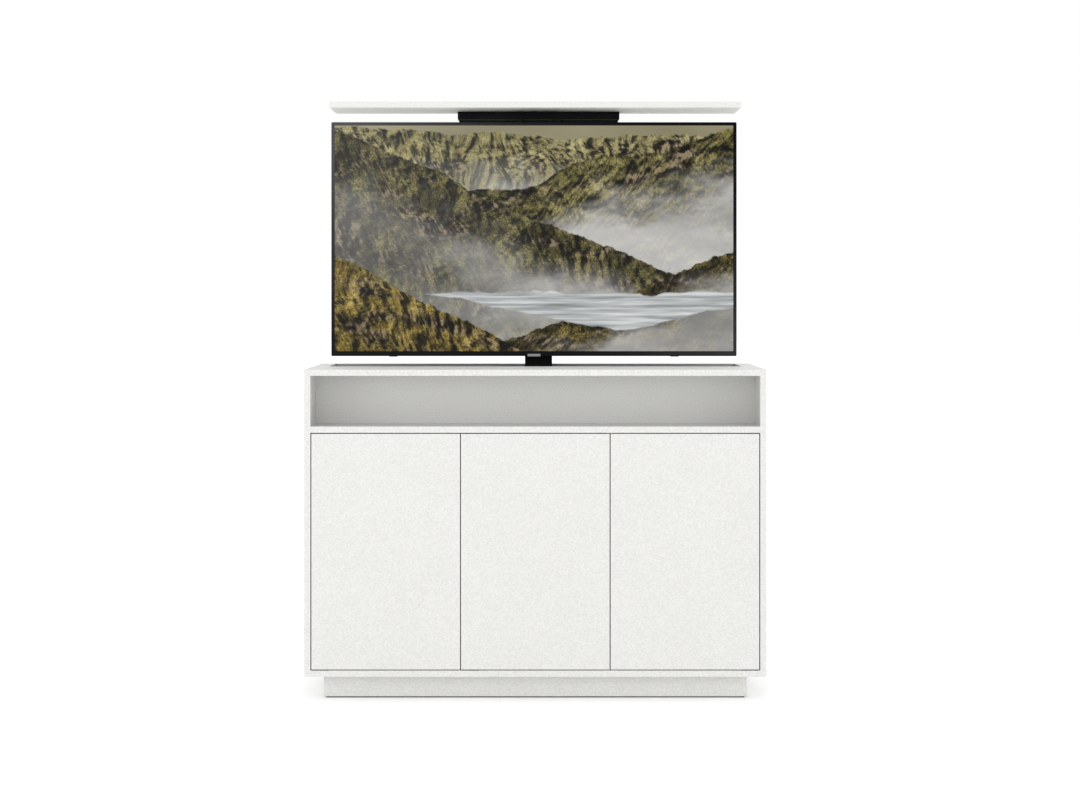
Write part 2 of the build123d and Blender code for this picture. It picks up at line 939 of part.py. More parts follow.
with BuildPart() as lift_motor:
    with BuildSketch(Plane.XZ.offset(-spindle_y)) as profile:
        with BuildLine():
            head_top = outer_low + gear_head_height
            body_low = head_top + motor_neck_height
            body_top = body_low + motor_height
            Polyline(
                (motor_x, outer_low),
                (motor_x + gear_head_radius, outer_low),
                (motor_x + gear_head_radius, head_top),
                (motor_x + gear_head_radius - motor_edge, head_top),
                (motor_x + gear_head_radius - motor_edge, body_low),
                (motor_x + motor_radius, body_low),
                (motor_x + motor_radius, body_top - motor_edge),
                (motor_x + motor_radius - motor_edge, body_top),
                (motor_x + motor_cap_radius, body_top),
                (motor_x + motor_cap_radius, body_top + motor_cap_height),
                (motor_x, body_top + motor_cap_height),
                close=True,
            )
        make_face()
    revolve(axis=Axis((motor_x, spindle_y, 0), (0, 0, 1)))
    rod(
        (motor_x, spindle_y, outer_low),
        (0, 0, 1),
        motor_shaft_radius + fit_gap,
        shaft_engagement + loose_gap,
        mode=Mode.SUBTRACT,
    )
keep(lift_motor.part, "lift_motor")

thread_low = outer_low + hinge_end_play
spindle_top = middle_low + nut_height + spindle_reach

with BuildPart() as spindle:
    with BuildSketch(Plane.XZ.offset(-spindle_y)) as profile:
        with BuildLine():
            turns = int((spindle_top - thread_low) / thread_pitch)
            points = [(mast_x, pulley_low), (mast_x + journal_radius, pulley_low)]
            points += [(mast_x + journal_radius, thread_low)]
            for turn in range(turns):
                z = thread_low + turn * thread_pitch
                points += [
                    (mast_x + spindle_radius, z),
                    (mast_x + spindle_radius, z + thread_pitch / 2),
                    (mast_x + spindle_radius - thread_depth, z + thread_pitch * 5 / 8),
                    (mast_x + spindle_radius - thread_depth, z + thread_pitch * 7 / 8),
                ]
            points += [(mast_x + spindle_radius, thread_low + turns * thread_pitch)]
            points += [(mast_x + spindle_radius, spindle_top), (mast_x, spindle_top)]
            Polyline(*points, close=True)
        make_face()
    revolve(axis=Axis((mast_x, spindle_y, 0), (0, 0, 1)))
    toothed_pulley(drive_centers[0], spindle_pulley_radius, spindle_pulley_teeth)
keep(spindle.part, "spindle")

with BuildPart() as control_box:
    slab(
        box_left - box_ear,
        box_right + box_ear,
        box_front,
        box_back,
        floor_z,
        floor_z + box_wall,
    )
    slab(box_left, box_right, box_front, box_back, floor_z, floor_z + box_height)
    fillet(control_box.edges().group_by(Axis.Z)[-1], box_wall)
    slab(
        box_left + box_wall,
        box_right - box_wall,
        box_front + box_wall,
        box_back - box_wall,
        floor_z + box_wall,
        floor_z + box_height - box_wall,
        mode=Mode.SUBTRACT,
    )
    box_top = floor_z + box_height
    with BuildSketch(Plane.XY.offset(box_top)) as slots:
        with Locations((box_x, (box_front + box_back) / 2)):
            with GridLocations(box_width / (box_vents + 1), 0, box_vents, 1):
                SlotOverall(box_depth / 2, box_wall, rotation=90)
    extrude(slots.sketch, amount=-box_wall, mode=Mode.SUBTRACT)
    inlet_y = (box_front + box_back) / 2
    inlet_z = floor_z + box_height / 2
    slab(
        box_left - overrun,
        box_left + box_wall + overrun,
        inlet_y - inlet_width / 2,
        inlet_y + inlet_width / 2,
        inlet_z - inlet_height / 2,
        inlet_z + inlet_height / 2,
        mode=Mode.SUBTRACT,
    )
    for spot in box_spots:
        wood_screw(spot, (0, 0, 1), short_screw_length, mode=Mode.SUBTRACT)
keep(control_box.part, "control_box")

with BuildPart() as power_inlet:
    slab(
        box_left,
        box_left + inlet_depth,
        inlet_y - inlet_width / 2,
        inlet_y + inlet_width / 2,
        inlet_z - inlet_height / 2,
        inlet_z + inlet_height / 2,
    )
    slab(
        box_left - inlet_flange_thickness,
        box_left,
        inlet_y - inlet_width / 2 - inlet_flange,
        inlet_y + inlet_width / 2 + inlet_flange,
        inlet_z - inlet_height / 2 - inlet_flange,
        inlet_z + inlet_height / 2 + inlet_flange,
    )
    recess_end = box_left + inlet_recess
    slab(
        box_left - inlet_flange_thickness,
        recess_end,
        inlet_y - inlet_width / 2 + inlet_wall,
        inlet_y + inlet_width / 2 - inlet_wall,
        inlet_z - inlet_height / 2 + inlet_wall,
        inlet_z + inlet_height / 2 - inlet_wall,
        mode=Mode.SUBTRACT,
    )
    for step in (-1, 0, 1):
        blade_y = inlet_y + step * blade_pitch
        slab(
            recess_end - blade_length,
            recess_end,
            blade_y - blade_thickness / 2,
            blade_y + blade_thickness / 2,
            inlet_z - blade_width / 2,
            inlet_z + blade_width / 2,
        )
keep(power_inlet.part, "power_inlet")

# Lift column: outer tube

sync_y = middle_back - tube_wall / 2
strand = sync_radius + sync_belt_thickness / 2
sync_lip_radius = sync_radius + sync_belt_thickness + sync_lip
lower_sync_z = middle_low + sync_end_inset + sync_radius
upper_sync_z = middle_high - sync_end_inset - sync_radius
outer_rear = mast_back - tube_wall
middle_rear = middle_back - tube_wall

with BuildPart() as outer_column:
    tube(mast_x, mast_front, outer_width, outer_depth, tube_corner, tube_wall, outer_low, outer_high)
keep(outer_column.part, "outer_column")


def guide_ring(hole, bar, z_low, z_high):
    """A plastic ring between a tube's inner outline and the bar inside it, open at the back for the belt."""
    post(mast_x, *hole, z_low, z_high)
    post(mast_x, *bar, z_low, z_high, mode=Mode.SUBTRACT)


def belt_slot(y_low, y_high, z_low, z_high):
    """The open channel for the lifting belt and its pulleys at the back of a ring."""
    half = belt_channel / 2
    slab(mast_x - half, mast_x + half, y_low, y_high, z_low, z_high, mode=Mode.SUBTRACT)


def belt_hole(strand_y, z_low, z_high):
    """The passage for one strand of the lifting belt through a clamp."""
    half = sync_belt_width / 2 + loose_gap
    deep = sync_belt_thickness / 2 + loose_gap
    slab(mast_x - half, mast_x + half, strand_y - deep, strand_y + deep, z_low, z_high, mode=Mode.SUBTRACT)


def outline(front, width, depth, corner, grow):
    """A rounded outline as front, width, depth and corner, made larger all round."""
    return (front - grow, width + 2 * grow, depth + 2 * grow, corner + grow)


outer_hole = outline(mast_front, outer_width, outer_depth, tube_corner, -tube_wall)
middle_hole = outline(middle_front, middle_width, middle_depth, tube_corner, -tube_wall)

with BuildPart() as outer_collar:
    ring_low = outer_high - collar_depth
    guide_ring(
        outer_hole,
        outline(middle_front, middle_width, middle_depth, tube_corner, slide_gap),
        ring_low,
        outer_high,
    )
    post(mast_x, mast_front, outer_width, outer_depth, tube_corner, outer_high, collar_top)
    post(
        mast_x,
        *outline(middle_front, middle_width, middle_depth, tube_corner, slide_gap),
        outer_high,
        collar_top,
        mode=Mode.SUBTRACT,
    )
    belt_slot(middle_back, outer_rear, ring_low, collar_top)
    slab(
        mast_x - clamp_width / 2,
        mast_x + clamp_width / 2,
        middle_back + slide_gap,
        outer_rear,
        ring_low - clamp_height,
        ring_low,
    )
    belt_hole(sync_y + strand, ring_low - clamp_height, ring_low)
keep(outer_collar.part, "outer_collar")

# Lift column: middle tube, with its nut, guides, belt and pulleys

pulley_half = sync_belt_width / 2 + sync_flange + loose_gap
ear_inner = pulley_half + loose_gap
window_half = ear_inner + ear_thickness
window_reach = sync_lip_radius + window_clear

with BuildPart() as middle_column:
    tube(mast_x, middle_front, middle_width, middle_depth, tube_corner, tube_wall, middle_low, middle_high)
    for z in (lower_sync_z, upper_sync_z):
        slab(
            mast_x - window_half,
            mast_x + window_half,
            middle_rear - overrun,
            middle_back + overrun,
            z - window_reach,
            z + window_reach,
            mode=Mode.SUBTRACT,
        )
        for x in (mast_x - window_half, mast_x + ear_inner):
            slab(
                x,
                x + ear_thickness,
                sync_y - ear_depth / 2,
                sync_y + ear_depth / 2,
                z - ear_height / 2,
                z + ear_height / 2,
            )
        rod(
            (mast_x - window_half, sync_y, z),
            (1, 0, 0),
            sync_axle_radius + fit_gap,
            2 * window_half,
            mode=Mode.SUBTRACT,
        )
keep(middle_column.part, "middle_column")

with BuildPart() as middle_collar:
    ring_low = middle_high - collar_depth
    guide_ring(
        middle_hole,
        outline(inner_front, inner_width, inner_depth, tube_corner, slide_gap),
        ring_low,
        middle_high,
    )
    collar_high = middle_high + collar_flange
    post(mast_x, middle_front, middle_width, middle_depth, tube_corner, middle_high, collar_high)
    post(
        mast_x,
        *outline(inner_front, inner_width, inner_depth, tube_corner, slide_gap),
        middle_high,
        collar_high,
        mode=Mode.SUBTRACT,
    )
    belt_slot(inner_back, middle_rear, ring_low, collar_high)
keep(middle_collar.part, "middle_collar")

with BuildPart() as middle_glide:
    guide_ring(
        outline(mast_front, outer_width, outer_depth, tube_corner, -tube_wall - slide_gap),
        outline(middle_front, middle_width, middle_depth, tube_corner, 0),
        middle_low,
        middle_low + collar_depth,
    )
    belt_slot(middle_back - overrun, mast_back, middle_low, middle_low + collar_depth)
keep(middle_glide.part, "middle_glide")

with BuildPart() as spindle_nut:
    post(mast_x, *middle_hole, middle_low, middle_low + nut_flange_height)
    rod((mast_x, spindle_y, middle_low), (0, 0, 1), nut_radius, nut_height)
    rod(
        (mast_x, spindle_y, middle_low),
        (0, 0, 1),
        spindle_radius + fit_gap,
        nut_height,
        mode=Mode.SUBTRACT,
    )
keep(spindle_nut.part, "spindle_nut")


def belt_path(radius, mode):
    """The outline of the lifting belt at one radius, drawn out across its width."""
    with BuildSketch(Plane.YZ.offset(mast_x - sync_belt_width / 2)) as outline_sketch:
        with Locations((sync_y, (lower_sync_z + upper_sync_z) / 2)):
            SlotCenterToCenter(upper_sync_z - lower_sync_z, 2 * radius, rotation=90)
    extrude(outline_sketch.sketch, amount=sync_belt_width, mode=mode)


with BuildPart() as sync_belt:
    belt_path(sync_radius + sync_belt_thickness, Mode.ADD)
    belt_path(sync_radius, Mode.SUBTRACT)
keep(sync_belt.part, "sync_belt")


def sync_pulley(z):
    """A flanged belt pulley on its axle."""
    rim = sync_radius - loose_gap
    with BuildPart() as pulley:
        rod((mast_x - pulley_half, sync_y, z), (1, 0, 0), sync_lip_radius, 2 * pulley_half)
        with BuildSketch(Plane.YZ.offset(mast_x - pulley_half + sync_flange)) as groove:
            with Locations((sync_y, z)):
                Circle(sync_lip_radius + overrun)
                Circle(rim, mode=Mode.SUBTRACT)
        extrude(groove.sketch, amount=2 * (pulley_half - sync_flange), mode=Mode.SUBTRACT)
        rod((mast_x - window_half, sync_y, z), (1, 0, 0), sync_axle_radius, 2 * window_half)
    return pulley.part


keep(sync_pulley(lower_sync_z), "lower_sync_pulley")
keep(sync_pulley(upper_sync_z), "upper_sync_pulley")

# Lift column: inner tube and the head that it carries

with BuildPart() as inner_column:
    tube(mast_x, inner_front, inner_width, inner_depth, tube_corner, tube_wall, inner_low, inner_high)
keep(inner_column.part, "inner_column")

with BuildPart() as inner_glide:
    ring_high = inner_low + collar_depth
    guide_ring(
        outline(middle_front, middle_width, middle_depth, tube_corner, -tube_wall - slide_gap),
        outline(inner_front, inner_width, inner_depth, tube_corner, 0),
        inner_low,
        ring_high,
    )
    belt_slot(inner_back, middle_back, inner_low, ring_high)
    slab(
        mast_x - clamp_width / 2,
        mast_x + clamp_width / 2,
        inner_back,
        middle_rear - slide_gap,
        ring_high,
        ring_high + clamp_height,
    )
    belt_hole(sync_y - strand, ring_high, ring_high + clamp_height)
keep(inner_glide.part, "inner_glide")

arm_xs = [mast_x + side * (drop_arm_gap + drop_arm_width) / 2 for side in (-1, 1)]

with BuildPart() as head_frame:
    slab(
        mast_x - crossbar_width / 2,
        mast_x + crossbar_width / 2,
        crossbar_front,
        crossbar_back,
        inner_high,
        bracket_low,
    )
    slab(
        mast_x - crossbar_width / 2,
        mast_x + crossbar_width / 2,
        crossbar_front + sheet,
        crossbar_back - sheet,
        inner_high + sheet,
        bracket_low - sheet,
        mode=Mode.SUBTRACT,
    )
    for x in arm_xs:
        slab(
            x - drop_arm_width / 2,
            x + drop_arm_width / 2,
            arm_front,
            crossbar_front,
            drop_arm_low,
            bracket_low,
        )
        slab(
            x - drop_arm_width / 2 + sheet,
            x + drop_arm_width / 2 - sheet,
            arm_front + sheet,
            crossbar_front,
            drop_arm_low,
            bracket_low - sheet,
            mode=Mode.SUBTRACT,
        )
keep(head_frame.part, "head_frame")

bracket_back = mast_back - lid_bracket_setback
lid_front = slot_front + lid_gap
lid_back = back_face - lid_gap
lid_half = slot_half - lid_gap
lid_spots = [
    (x, y, lid_low - sheet)
    for x in (
        mast_x - lid_bracket_width / 2 + lid_screw_inset,
        mast_x - lid_bracket_width / 6,
        mast_x + lid_bracket_width / 6,
        mast_x + lid_bracket_width / 2 - lid_screw_inset,
    )
    for y in (crossbar_back + (bracket_back - crossbar_back) / 3,)
]

with BuildPart() as lid_bracket:
    slab(
        mast_x - lid_bracket_width / 2,
        mast_x + lid_bracket_width / 2,
        crossbar_front,
        bracket_back,
        bracket_low,
        lid_low,
    )
    slab(
        mast_x - lid_bracket_width / 2 + sheet,
        mast_x + lid_bracket_width / 2 - sheet,
        crossbar_front + sheet,
        bracket_back - sheet,
        bracket_low,
        lid_low - sheet,
        mode=Mode.SUBTRACT,
    )
    for spot in lid_spots:
        wood_screw(spot, (0, 0, -1), short_screw_length, mode=Mode.SUBTRACT)
keep(lid_bracket.part, "lid_bracket")

with BuildPart() as lid:
    slab(-lid_half, lid_half, lid_front, lid_back, lid_low, lid_top)
    chamfer(lid.edges().group_by(Axis.Z)[-1], lid_edge_round)
    for spot in lid_spots:
        wood_screw(spot, (0, 0, -1), short_screw_length, mode=Mode.SUBTRACT)
keep(lid.part, "lid")

with BuildPart() as tv_rails:
    for z in rail_zs:
        slab(
            mast_x - rail_length / 2,
            mast_x + rail_length / 2,
            rail_front,
            arm_front,
            z - rail_height / 2,
            z + rail_height / 2,
        )
        slab(
            mast_x - rail_length / 2,
            mast_x + rail_length / 2,
            rail_front,
            arm_front - sheet,
            z - rail_height / 2 + sheet,
            z + rail_height / 2 - sheet,
            mode=Mode.SUBTRACT,
        )
keep(tv_rails.part, "tv_rails")

tv_arm_xs = [tv_x + side * vesa_pitch / 2 for side in (-1, 1)]
vesa_zs = [tv_mid + side * vesa_pitch / 2 for side in (-1, 1)]

with BuildPart() as tv_arms:
    for x in tv_arm_xs:
        slab(
            x - tv_arm_width / 2,
            x + tv_arm_width / 2,
            tv_back,
            rail_front,
            tv_mid - tv_arm_length / 2,
            tv_mid + tv_arm_length / 2,
        )
        slab(
            x - tv_arm_width / 2 + sheet,
            x + tv_arm_width / 2 - sheet,
            tv_back + sheet,
            rail_front,
            tv_mid - tv_arm_length / 2,
            tv_mid + tv_arm_length / 2,
            mode=Mode.SUBTRACT,
        )
        for z in vesa_zs:
            with BuildSketch(Plane.XZ.offset(-tv_back - sheet)) as slot:
                with Locations((x, z)):
                    SlotOverall(tv_arm_slot, tv_arm_slot_width, rotation=90)
            extrude(slot.sketch, amount=sheet, mode=Mode.SUBTRACT)
        for z in rail_zs:
            hook_low = z + rail_height / 2
            for flange_x in (x - tv_arm_width / 2, x + tv_arm_width / 2 - sheet):
                slab(
                    flange_x,
                    flange_x + sheet,
                    rail_front - hook_reach,
                    rail_front + hook_reach,
                    hook_low,
                    hook_low + hook_height,
                )
keep(tv_arms.part, "tv_arms")

with BuildPart() as head_fasteners:
    for x in tv_arm_xs:
        for z in vesa_zs:
            bolt((x, tv_back + sheet, z), (0, 1, 0), bolt_length)
    for spot in lid_spots:
        wood_screw(spot, (0, 0, -1), short_screw_length)
keep(head_fasteners.part, "head_fasteners")

# TV

pocket_width = tv_width - 2 * tv_bezel_wall
pocket_height = tv_height - 2 * tv_bezel_wall
pocket_corner = tv_corner - tv_bezel_wall
panel_front = tv_front + tv_lip
panel_back = panel_front + tv_panel_thickness
chassis_back = panel_back + tv_rim_depth
rim_back = tv_frame_back + tv_rim_depth
window_width = tv_width - 2 * tv_bezel_side
window_height = tv_height - tv_bezel_top - tv_bezel_bottom
window_z = tv_low + tv_bezel_bottom + window_height / 2


def pane(center_z, width, height, corner, y_low, y_high, mode=Mode.ADD):
    """A rounded upright plate of the TV."""
    with BuildSketch(Plane.XZ.offset(-y_high)) as face:
        with Locations((tv_x, center_z)):
            RectangleRounded(width, height, corner)
    extrude(face.sketch, amount=y_high - y_low, mode=mode)


with BuildPart() as tv_bezel:
    pane(tv_mid, tv_width, tv_height, tv_corner, tv_front, tv_frame_back)
    fillet(tv_bezel.edges().group_by(Axis.Y)[0], tv_corner / 4)
    pane(tv_mid, pocket_width, pocket_height, pocket_corner, panel_front, tv_frame_back, mode=Mode.SUBTRACT)
    pane(window_z, window_width, window_height, pocket_corner, tv_front, panel_front, mode=Mode.SUBTRACT)
    for side in (-1, 1):
        foot_x = tv_x + side * tv_foot_spread / 2
        slab(
            foot_x - tv_foot_width / 2,
            foot_x + tv_foot_width / 2,
            panel_front,
            tv_frame_back,
            tv_low - tv_foot_height,
            tv_low + tv_bezel_wall / 2,
        )
keep(tv_bezel.part, "tv_bezel")

with BuildPart() as tv_screen:
    pane(tv_mid, pocket_width, pocket_height, pocket_corner, panel_front, panel_back)
keep(tv_screen.part, "tv_screen")

with BuildPart() as tv_chassis:
    pane(tv_mid, pocket_width, pocket_height, pocket_corner, panel_back, chassis_back)
    pane(
        tv_mid,
        pocket_width - 2 * tv_chassis_sheet,
        pocket_height - 2 * tv_chassis_sheet,
        pocket_corner,
        panel_back,
        chassis_back - tv_chassis_sheet,
        mode=Mode.SUBTRACT,
    )
keep(tv_chassis.part, "tv_chassis")

with BuildPart() as tv_nameplate:
    slab(
        tv_x - nameplate_width / 2,
        tv_x + nameplate_width / 2,
        tv_front - nameplate_thickness,
        tv_front,
        tv_low - nameplate_hang,
        tv_low - nameplate_hang + nameplate_height,
    )
keep(tv_nameplate.part, "tv_nameplate")


def bulge(shrink, y_low, y_high, mode=Mode.ADD):
    """The sloped middle of the back cover, or its hollow when it is shrunk by the wall."""
    spread = 2 * tv_bulge_slope - 2 * shrink
    corner = tv_bulge_corner - shrink
    with BuildSketch(Plane.XZ.offset(-y_low)) as base:
        with Locations((tv_x, tv_mid)):
            RectangleRounded(tv_bulge_width + spread, tv_bulge_height + spread, corner)
    with BuildSketch(Plane.XZ.offset(-y_high)) as crown:
        with Locations((tv_x, tv_mid)):
            RectangleRounded(tv_bulge_width - 2 * shrink, tv_bulge_height - 2 * shrink, corner)
    loft([base.sketch.face(), crown.sketch.face()], mode=mode)


with BuildPart() as tv_back_cover:
    pane(tv_mid, tv_width, tv_height, tv_corner, tv_frame_back, rim_back)
    fillet(tv_back_cover.edges().group_by(Axis.Y)[-1], tv_corner / 2)
    bulge(0, rim_back, tv_back)
    pane(
        tv_mid,
        pocket_width,
        pocket_height,
        pocket_corner,
        tv_frame_back,
        rim_back - tv_cover_wall,
        mode=Mode.SUBTRACT,
    )
    bulge(tv_cover_wall, rim_back - tv_cover_wall, tv_back - tv_cover_wall, mode=Mode.SUBTRACT)
    for x in tv_arm_xs:
        for z in vesa_zs:
            rod((x, chassis_back, z), (0, 1, 0), tv_boss_radius, tv_back - tv_cover_wall - chassis_back)
            rod((x, tv_back, z), (0, -1, 0), bolt_radius, tv_boss_bore, mode=Mode.SUBTRACT)
    with BuildSketch(Plane.XZ.offset(-tv_back)) as vents:
        with Locations((tv_x, tv_mid + tv_bulge_height / 2 - tv_vent_length)):
            with GridLocations(tv_vent_pitch, 0, tv_vent_slots, 1):
                SlotOverall(tv_vent_length, tv_vent_width, rotation=90)
    extrude(vents.sketch, amount=tv_cover_wall, mode=Mode.SUBTRACT)
keep(tv_back_cover.part, "tv_back_cover")


def circuit_board(x_mid, width, height):
    """A board on four standoffs from the chassis."""
    board_low = chassis_back + tv_board_gap
    slab(
        x_mid - width / 2,
        x_mid + width / 2,
        board_low,
        board_low + tv_board_thickness,
        tv_mid - height / 2,
        tv_mid + height / 2,
    )
    reach_x = width / 2 - tv_standoff_inset
    reach_z = height / 2 - tv_standoff_inset
    for x in (x_mid - reach_x, x_mid + reach_x):
        for z in (tv_mid - reach_z, tv_mid + reach_z):
            rod((x, chassis_back, z), (0, 1, 0), tv_standoff_radius, tv_board_gap)


def component(x_mid, z_mid, width, height, depth):
    """A block soldered to a board."""
    face = chassis_back + tv_board_gap + tv_board_thickness
    slab(x_mid - width / 2, x_mid + width / 2, face, face + depth, z_mid - height / 2, z_mid + height / 2)


with BuildPart() as tv_electronics:
    main_x = tv_x + main_board_x
    power_x = tv_x + power_board_x
    circuit_board(main_x, main_board_width, main_board_height)
    component(main_x, tv_mid, heat_sink_size, heat_sink_size, heat_sink_height)
    component(
        main_x + main_board_width / 2 - socket_width / 2,
        tv_mid,
        socket_width,
        socket_length,
        socket_depth,
    )
    circuit_board(power_x, power_board_width, power_board_height)
    component(
        power_x + transformer_width / 2,
        tv_mid,
        transformer_width,
        transformer_height,
        transformer_depth,
    )
    for step in (-1, 0, 1):
        rod(
            (
                power_x - power_board_width / 4,
                chassis_back + tv_board_gap + tv_board_thickness,
                tv_mid + step * capacitor_pitch,
            ),
            (0, 1, 0),
            capacitor_radius,
            capacitor_height,
        )
    speaker_low = tv_mid - tv_bulge_height / 2 + speaker_rise
    for side in (-1, 1):
        slab(
            tv_x + side * speaker_x - speaker_width / 2,
            tv_x + side * speaker_x + speaker_width / 2,
            chassis_back,
            chassis_back + speaker_depth,
            speaker_low,
            speaker_low + speaker_height,
        )
keep(tv_electronics.part, "tv_electronics")
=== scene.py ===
"""Looks of the TV lift cabinet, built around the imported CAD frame. Lengths are in metres."""

import json
import math

import bmesh
import bpy
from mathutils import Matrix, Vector


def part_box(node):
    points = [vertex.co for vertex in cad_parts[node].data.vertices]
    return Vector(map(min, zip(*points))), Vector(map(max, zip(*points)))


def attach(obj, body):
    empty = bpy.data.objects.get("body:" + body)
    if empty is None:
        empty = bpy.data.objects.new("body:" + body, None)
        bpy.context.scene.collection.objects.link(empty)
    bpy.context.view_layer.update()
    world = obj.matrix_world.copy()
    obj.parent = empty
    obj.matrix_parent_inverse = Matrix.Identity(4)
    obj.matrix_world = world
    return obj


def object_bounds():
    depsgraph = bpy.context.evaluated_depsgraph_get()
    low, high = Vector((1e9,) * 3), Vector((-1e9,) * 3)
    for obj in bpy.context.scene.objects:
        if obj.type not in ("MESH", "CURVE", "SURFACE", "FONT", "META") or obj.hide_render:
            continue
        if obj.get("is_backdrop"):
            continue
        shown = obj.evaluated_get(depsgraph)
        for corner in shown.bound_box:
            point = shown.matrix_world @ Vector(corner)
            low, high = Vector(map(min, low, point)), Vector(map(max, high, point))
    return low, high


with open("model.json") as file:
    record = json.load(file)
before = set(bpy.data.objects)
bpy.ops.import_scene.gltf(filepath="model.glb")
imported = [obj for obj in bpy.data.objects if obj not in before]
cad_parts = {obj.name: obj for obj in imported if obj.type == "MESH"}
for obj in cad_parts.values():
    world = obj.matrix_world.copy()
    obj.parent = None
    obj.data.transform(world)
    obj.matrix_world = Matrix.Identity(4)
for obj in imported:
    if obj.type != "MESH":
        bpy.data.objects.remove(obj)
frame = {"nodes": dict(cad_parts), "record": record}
cad_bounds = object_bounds()
nodes = frame["nodes"]
slot_of = {s["node"]: s["material_slot"] for s in frame["record"]["subparts"]}

# Places read from the frame
side_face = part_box("right_side_panel")[0].x
case_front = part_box("top_panel")[0].y
case_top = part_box("top_panel")[1].z
niche_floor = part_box("divider_panel")[1].z
niche_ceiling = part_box("top_panel")[0].z
lid_low, lid_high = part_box("lid")
tv_low, tv_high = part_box("tv_bezel")
plinth_low, plinth_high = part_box("plinth_frame")
cover_low, cover_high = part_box("tv_back_cover")
bar_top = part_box("head_frame")[1].z
bar_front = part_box("lid_bracket")[0].y

# Sizes that the frame doesn't give
lid_gap = 0.002
eased_edge = 0.001
tv_frame = 0.010
screen_height = 0.685

# How far a masked tone fades at its edges
fade = 0.0004


def add_object(name, data):
    """A new object in the scene."""
    made = bpy.data.objects.new(name, data)
    bpy.context.scene.collection.objects.link(made)
    return made


# Camera: the photograph's view, level, with the frame shifted down onto the cabinet
camera_away = 6.25
camera_height = 1.196
eye = bpy.data.cameras.new("eye")
eye.sensor_fit = "HORIZONTAL"
eye.sensor_width = 36
eye.lens = 69.03
eye.shift_x = 0.00435
eye.shift_y = -0.10812
eye.clip_end = 200
camera = add_object("camera", eye)
camera.location = (0, -camera_away, camera_height)
camera.rotation_euler = (math.radians(90), 0, 0)
bpy.context.scene.camera = camera
bpy.context.scene.view_settings.view_transform = "Standard"


def tone(red, green, blue):
    """A colour given in display levels from 0 to 255, as linear light."""
    def level(value):
        share = value / 255
        return share / 12.92 if share <= 0.04045 else ((share + 0.055) / 1.055) ** 2.4

    return (level(red), level(green), level(blue), 1)


def shade(share):
    """A colour that dims what it multiplies to a share of itself."""
    return (share, share, share, 1)


class Graph:
    """A node graph under construction, of a material or the world."""

    def __init__(self, tree):
        self.tree = tree
        tree.nodes.clear()

    def put(self, socket, value):
        """Links a socket to a value that is one, or else sets it."""
        if isinstance(value, bpy.types.NodeSocket):
            self.tree.links.new(value, socket)
        else:
            socket.default_value = value

    def node(self, kind, given=None, **settings):
        made = self.tree.nodes.new(kind)
        for name, value in settings.items():
            setattr(made, name, value)
        for name, value in (given or {}).items():
            self.put(made.inputs[name], value)
        return made

    def math(self, operation, a, b=0.0):
        return self.node("ShaderNodeMath", {0: a, 1: b}, operation=operation).outputs[0]

    def add(self, a, b):
        return self.math("ADD", a, b)

    def sub(self, a, b):
        return self.math("SUBTRACT", a, b)

    def mul(self, a, b):
        return self.math("MULTIPLY", a, b)

    def place(self):
        return self.node("ShaderNodeTexCoord").outputs["Object"]

    def split(self, vector):
        return self.node("ShaderNodeSeparateXYZ", {0: vector}).outputs

    def join(self, x, y, z):
        return self.node("ShaderNodeCombineXYZ", {0: x, 1: y, 2: z}).outputs[0]

    def scaled(self, vector, scale):
        return self.node("ShaderNodeMapping", {"Vector": vector, "Scale": scale}).outputs[0]

    def noise(self, vector, scale, detail=2.0, rough=0.5):
        given = {"Vector": vector, "Scale": scale, "Detail": detail, "Roughness": rough}
        return self.node("ShaderNodeTexNoise", given).outputs[0]

    def ribs(self, vector, scale):
        """The height of even ribs that run across, stacked upwards."""
        given = {"Vector": vector, "Scale": scale, "Distortion": 0.0}
        return self.node("ShaderNodeTexWave", given, wave_type="BANDS", bands_direction="Z").outputs[1]

    def steps(self, value, low, high, to_low=0.0, to_high=1.0, smooth=False):
        """A value's range from low to high, carried over to another range and held at its ends."""
        given = {"Value": value, "From Min": low, "From Max": high, "To Min": to_low, "To Max": to_high}
        kind = "SMOOTHSTEP" if smooth else "LINEAR"
        return self.node("ShaderNodeMapRange", given, interpolation_type=kind).outputs[0]

    def ramp(self, value, *stops):
        """Colours along a value, from stops of a position and a colour."""
        made = self.node("ShaderNodeValToRGB", {0: value})
        elements = made.color_ramp.elements
        while len(elements) < len(stops):
            elements.new(0.5)
        for element, (at, colour) in zip(elements, stops):
            element.position = at
            element.color = colour
        return made.outputs[0]

    def mix(self, share, a, b, blend="MIX"):
        made = self.node("ShaderNodeMix", data_type="RGBA", blend_type=blend)
        for index, value in ((0, share), (6, a), (7, b)):
            self.put(made.inputs[index], value)
        return made.outputs[2]

    def dim(self, colour, by):
        """A colour multiplied by another, or by a share that is worked out."""
        return self.mix(1.0, colour, by, "MULTIPLY")

    def bump(self, height, depth, strength, under=None):
        given = {"Height": height, "Distance": depth, "Strength": strength}
        if under is not None:
            given["Normal"] = under
        return self.node("ShaderNodeBump", given).outputs[0]

    def end(self, shader):
        """Leads a shader to the material's output."""
        self.put(self.node("ShaderNodeOutputMaterial").inputs[0], shader)


def finish(name, build):
    """A material whose Principled shader takes the inputs that build works out."""
    material = bpy.data.materials.new(name)
    material.use_nodes = True
    g = Graph(material.node_tree)
    shader = g.node("ShaderNodeBsdfPrincipled", build(g))
    g.end(shader.outputs[0])
    return material


def within(g, place, low, high):
    """1 where a place lies between two corners, and 0 outside them."""
    share = 1.0
    for value, a, b in zip(g.split(place), low, high):
        share = g.mul(share, g.mul(g.steps(value, a - fade, a), g.steps(value, b, b + fade, 1.0, 0.0)))
    return share


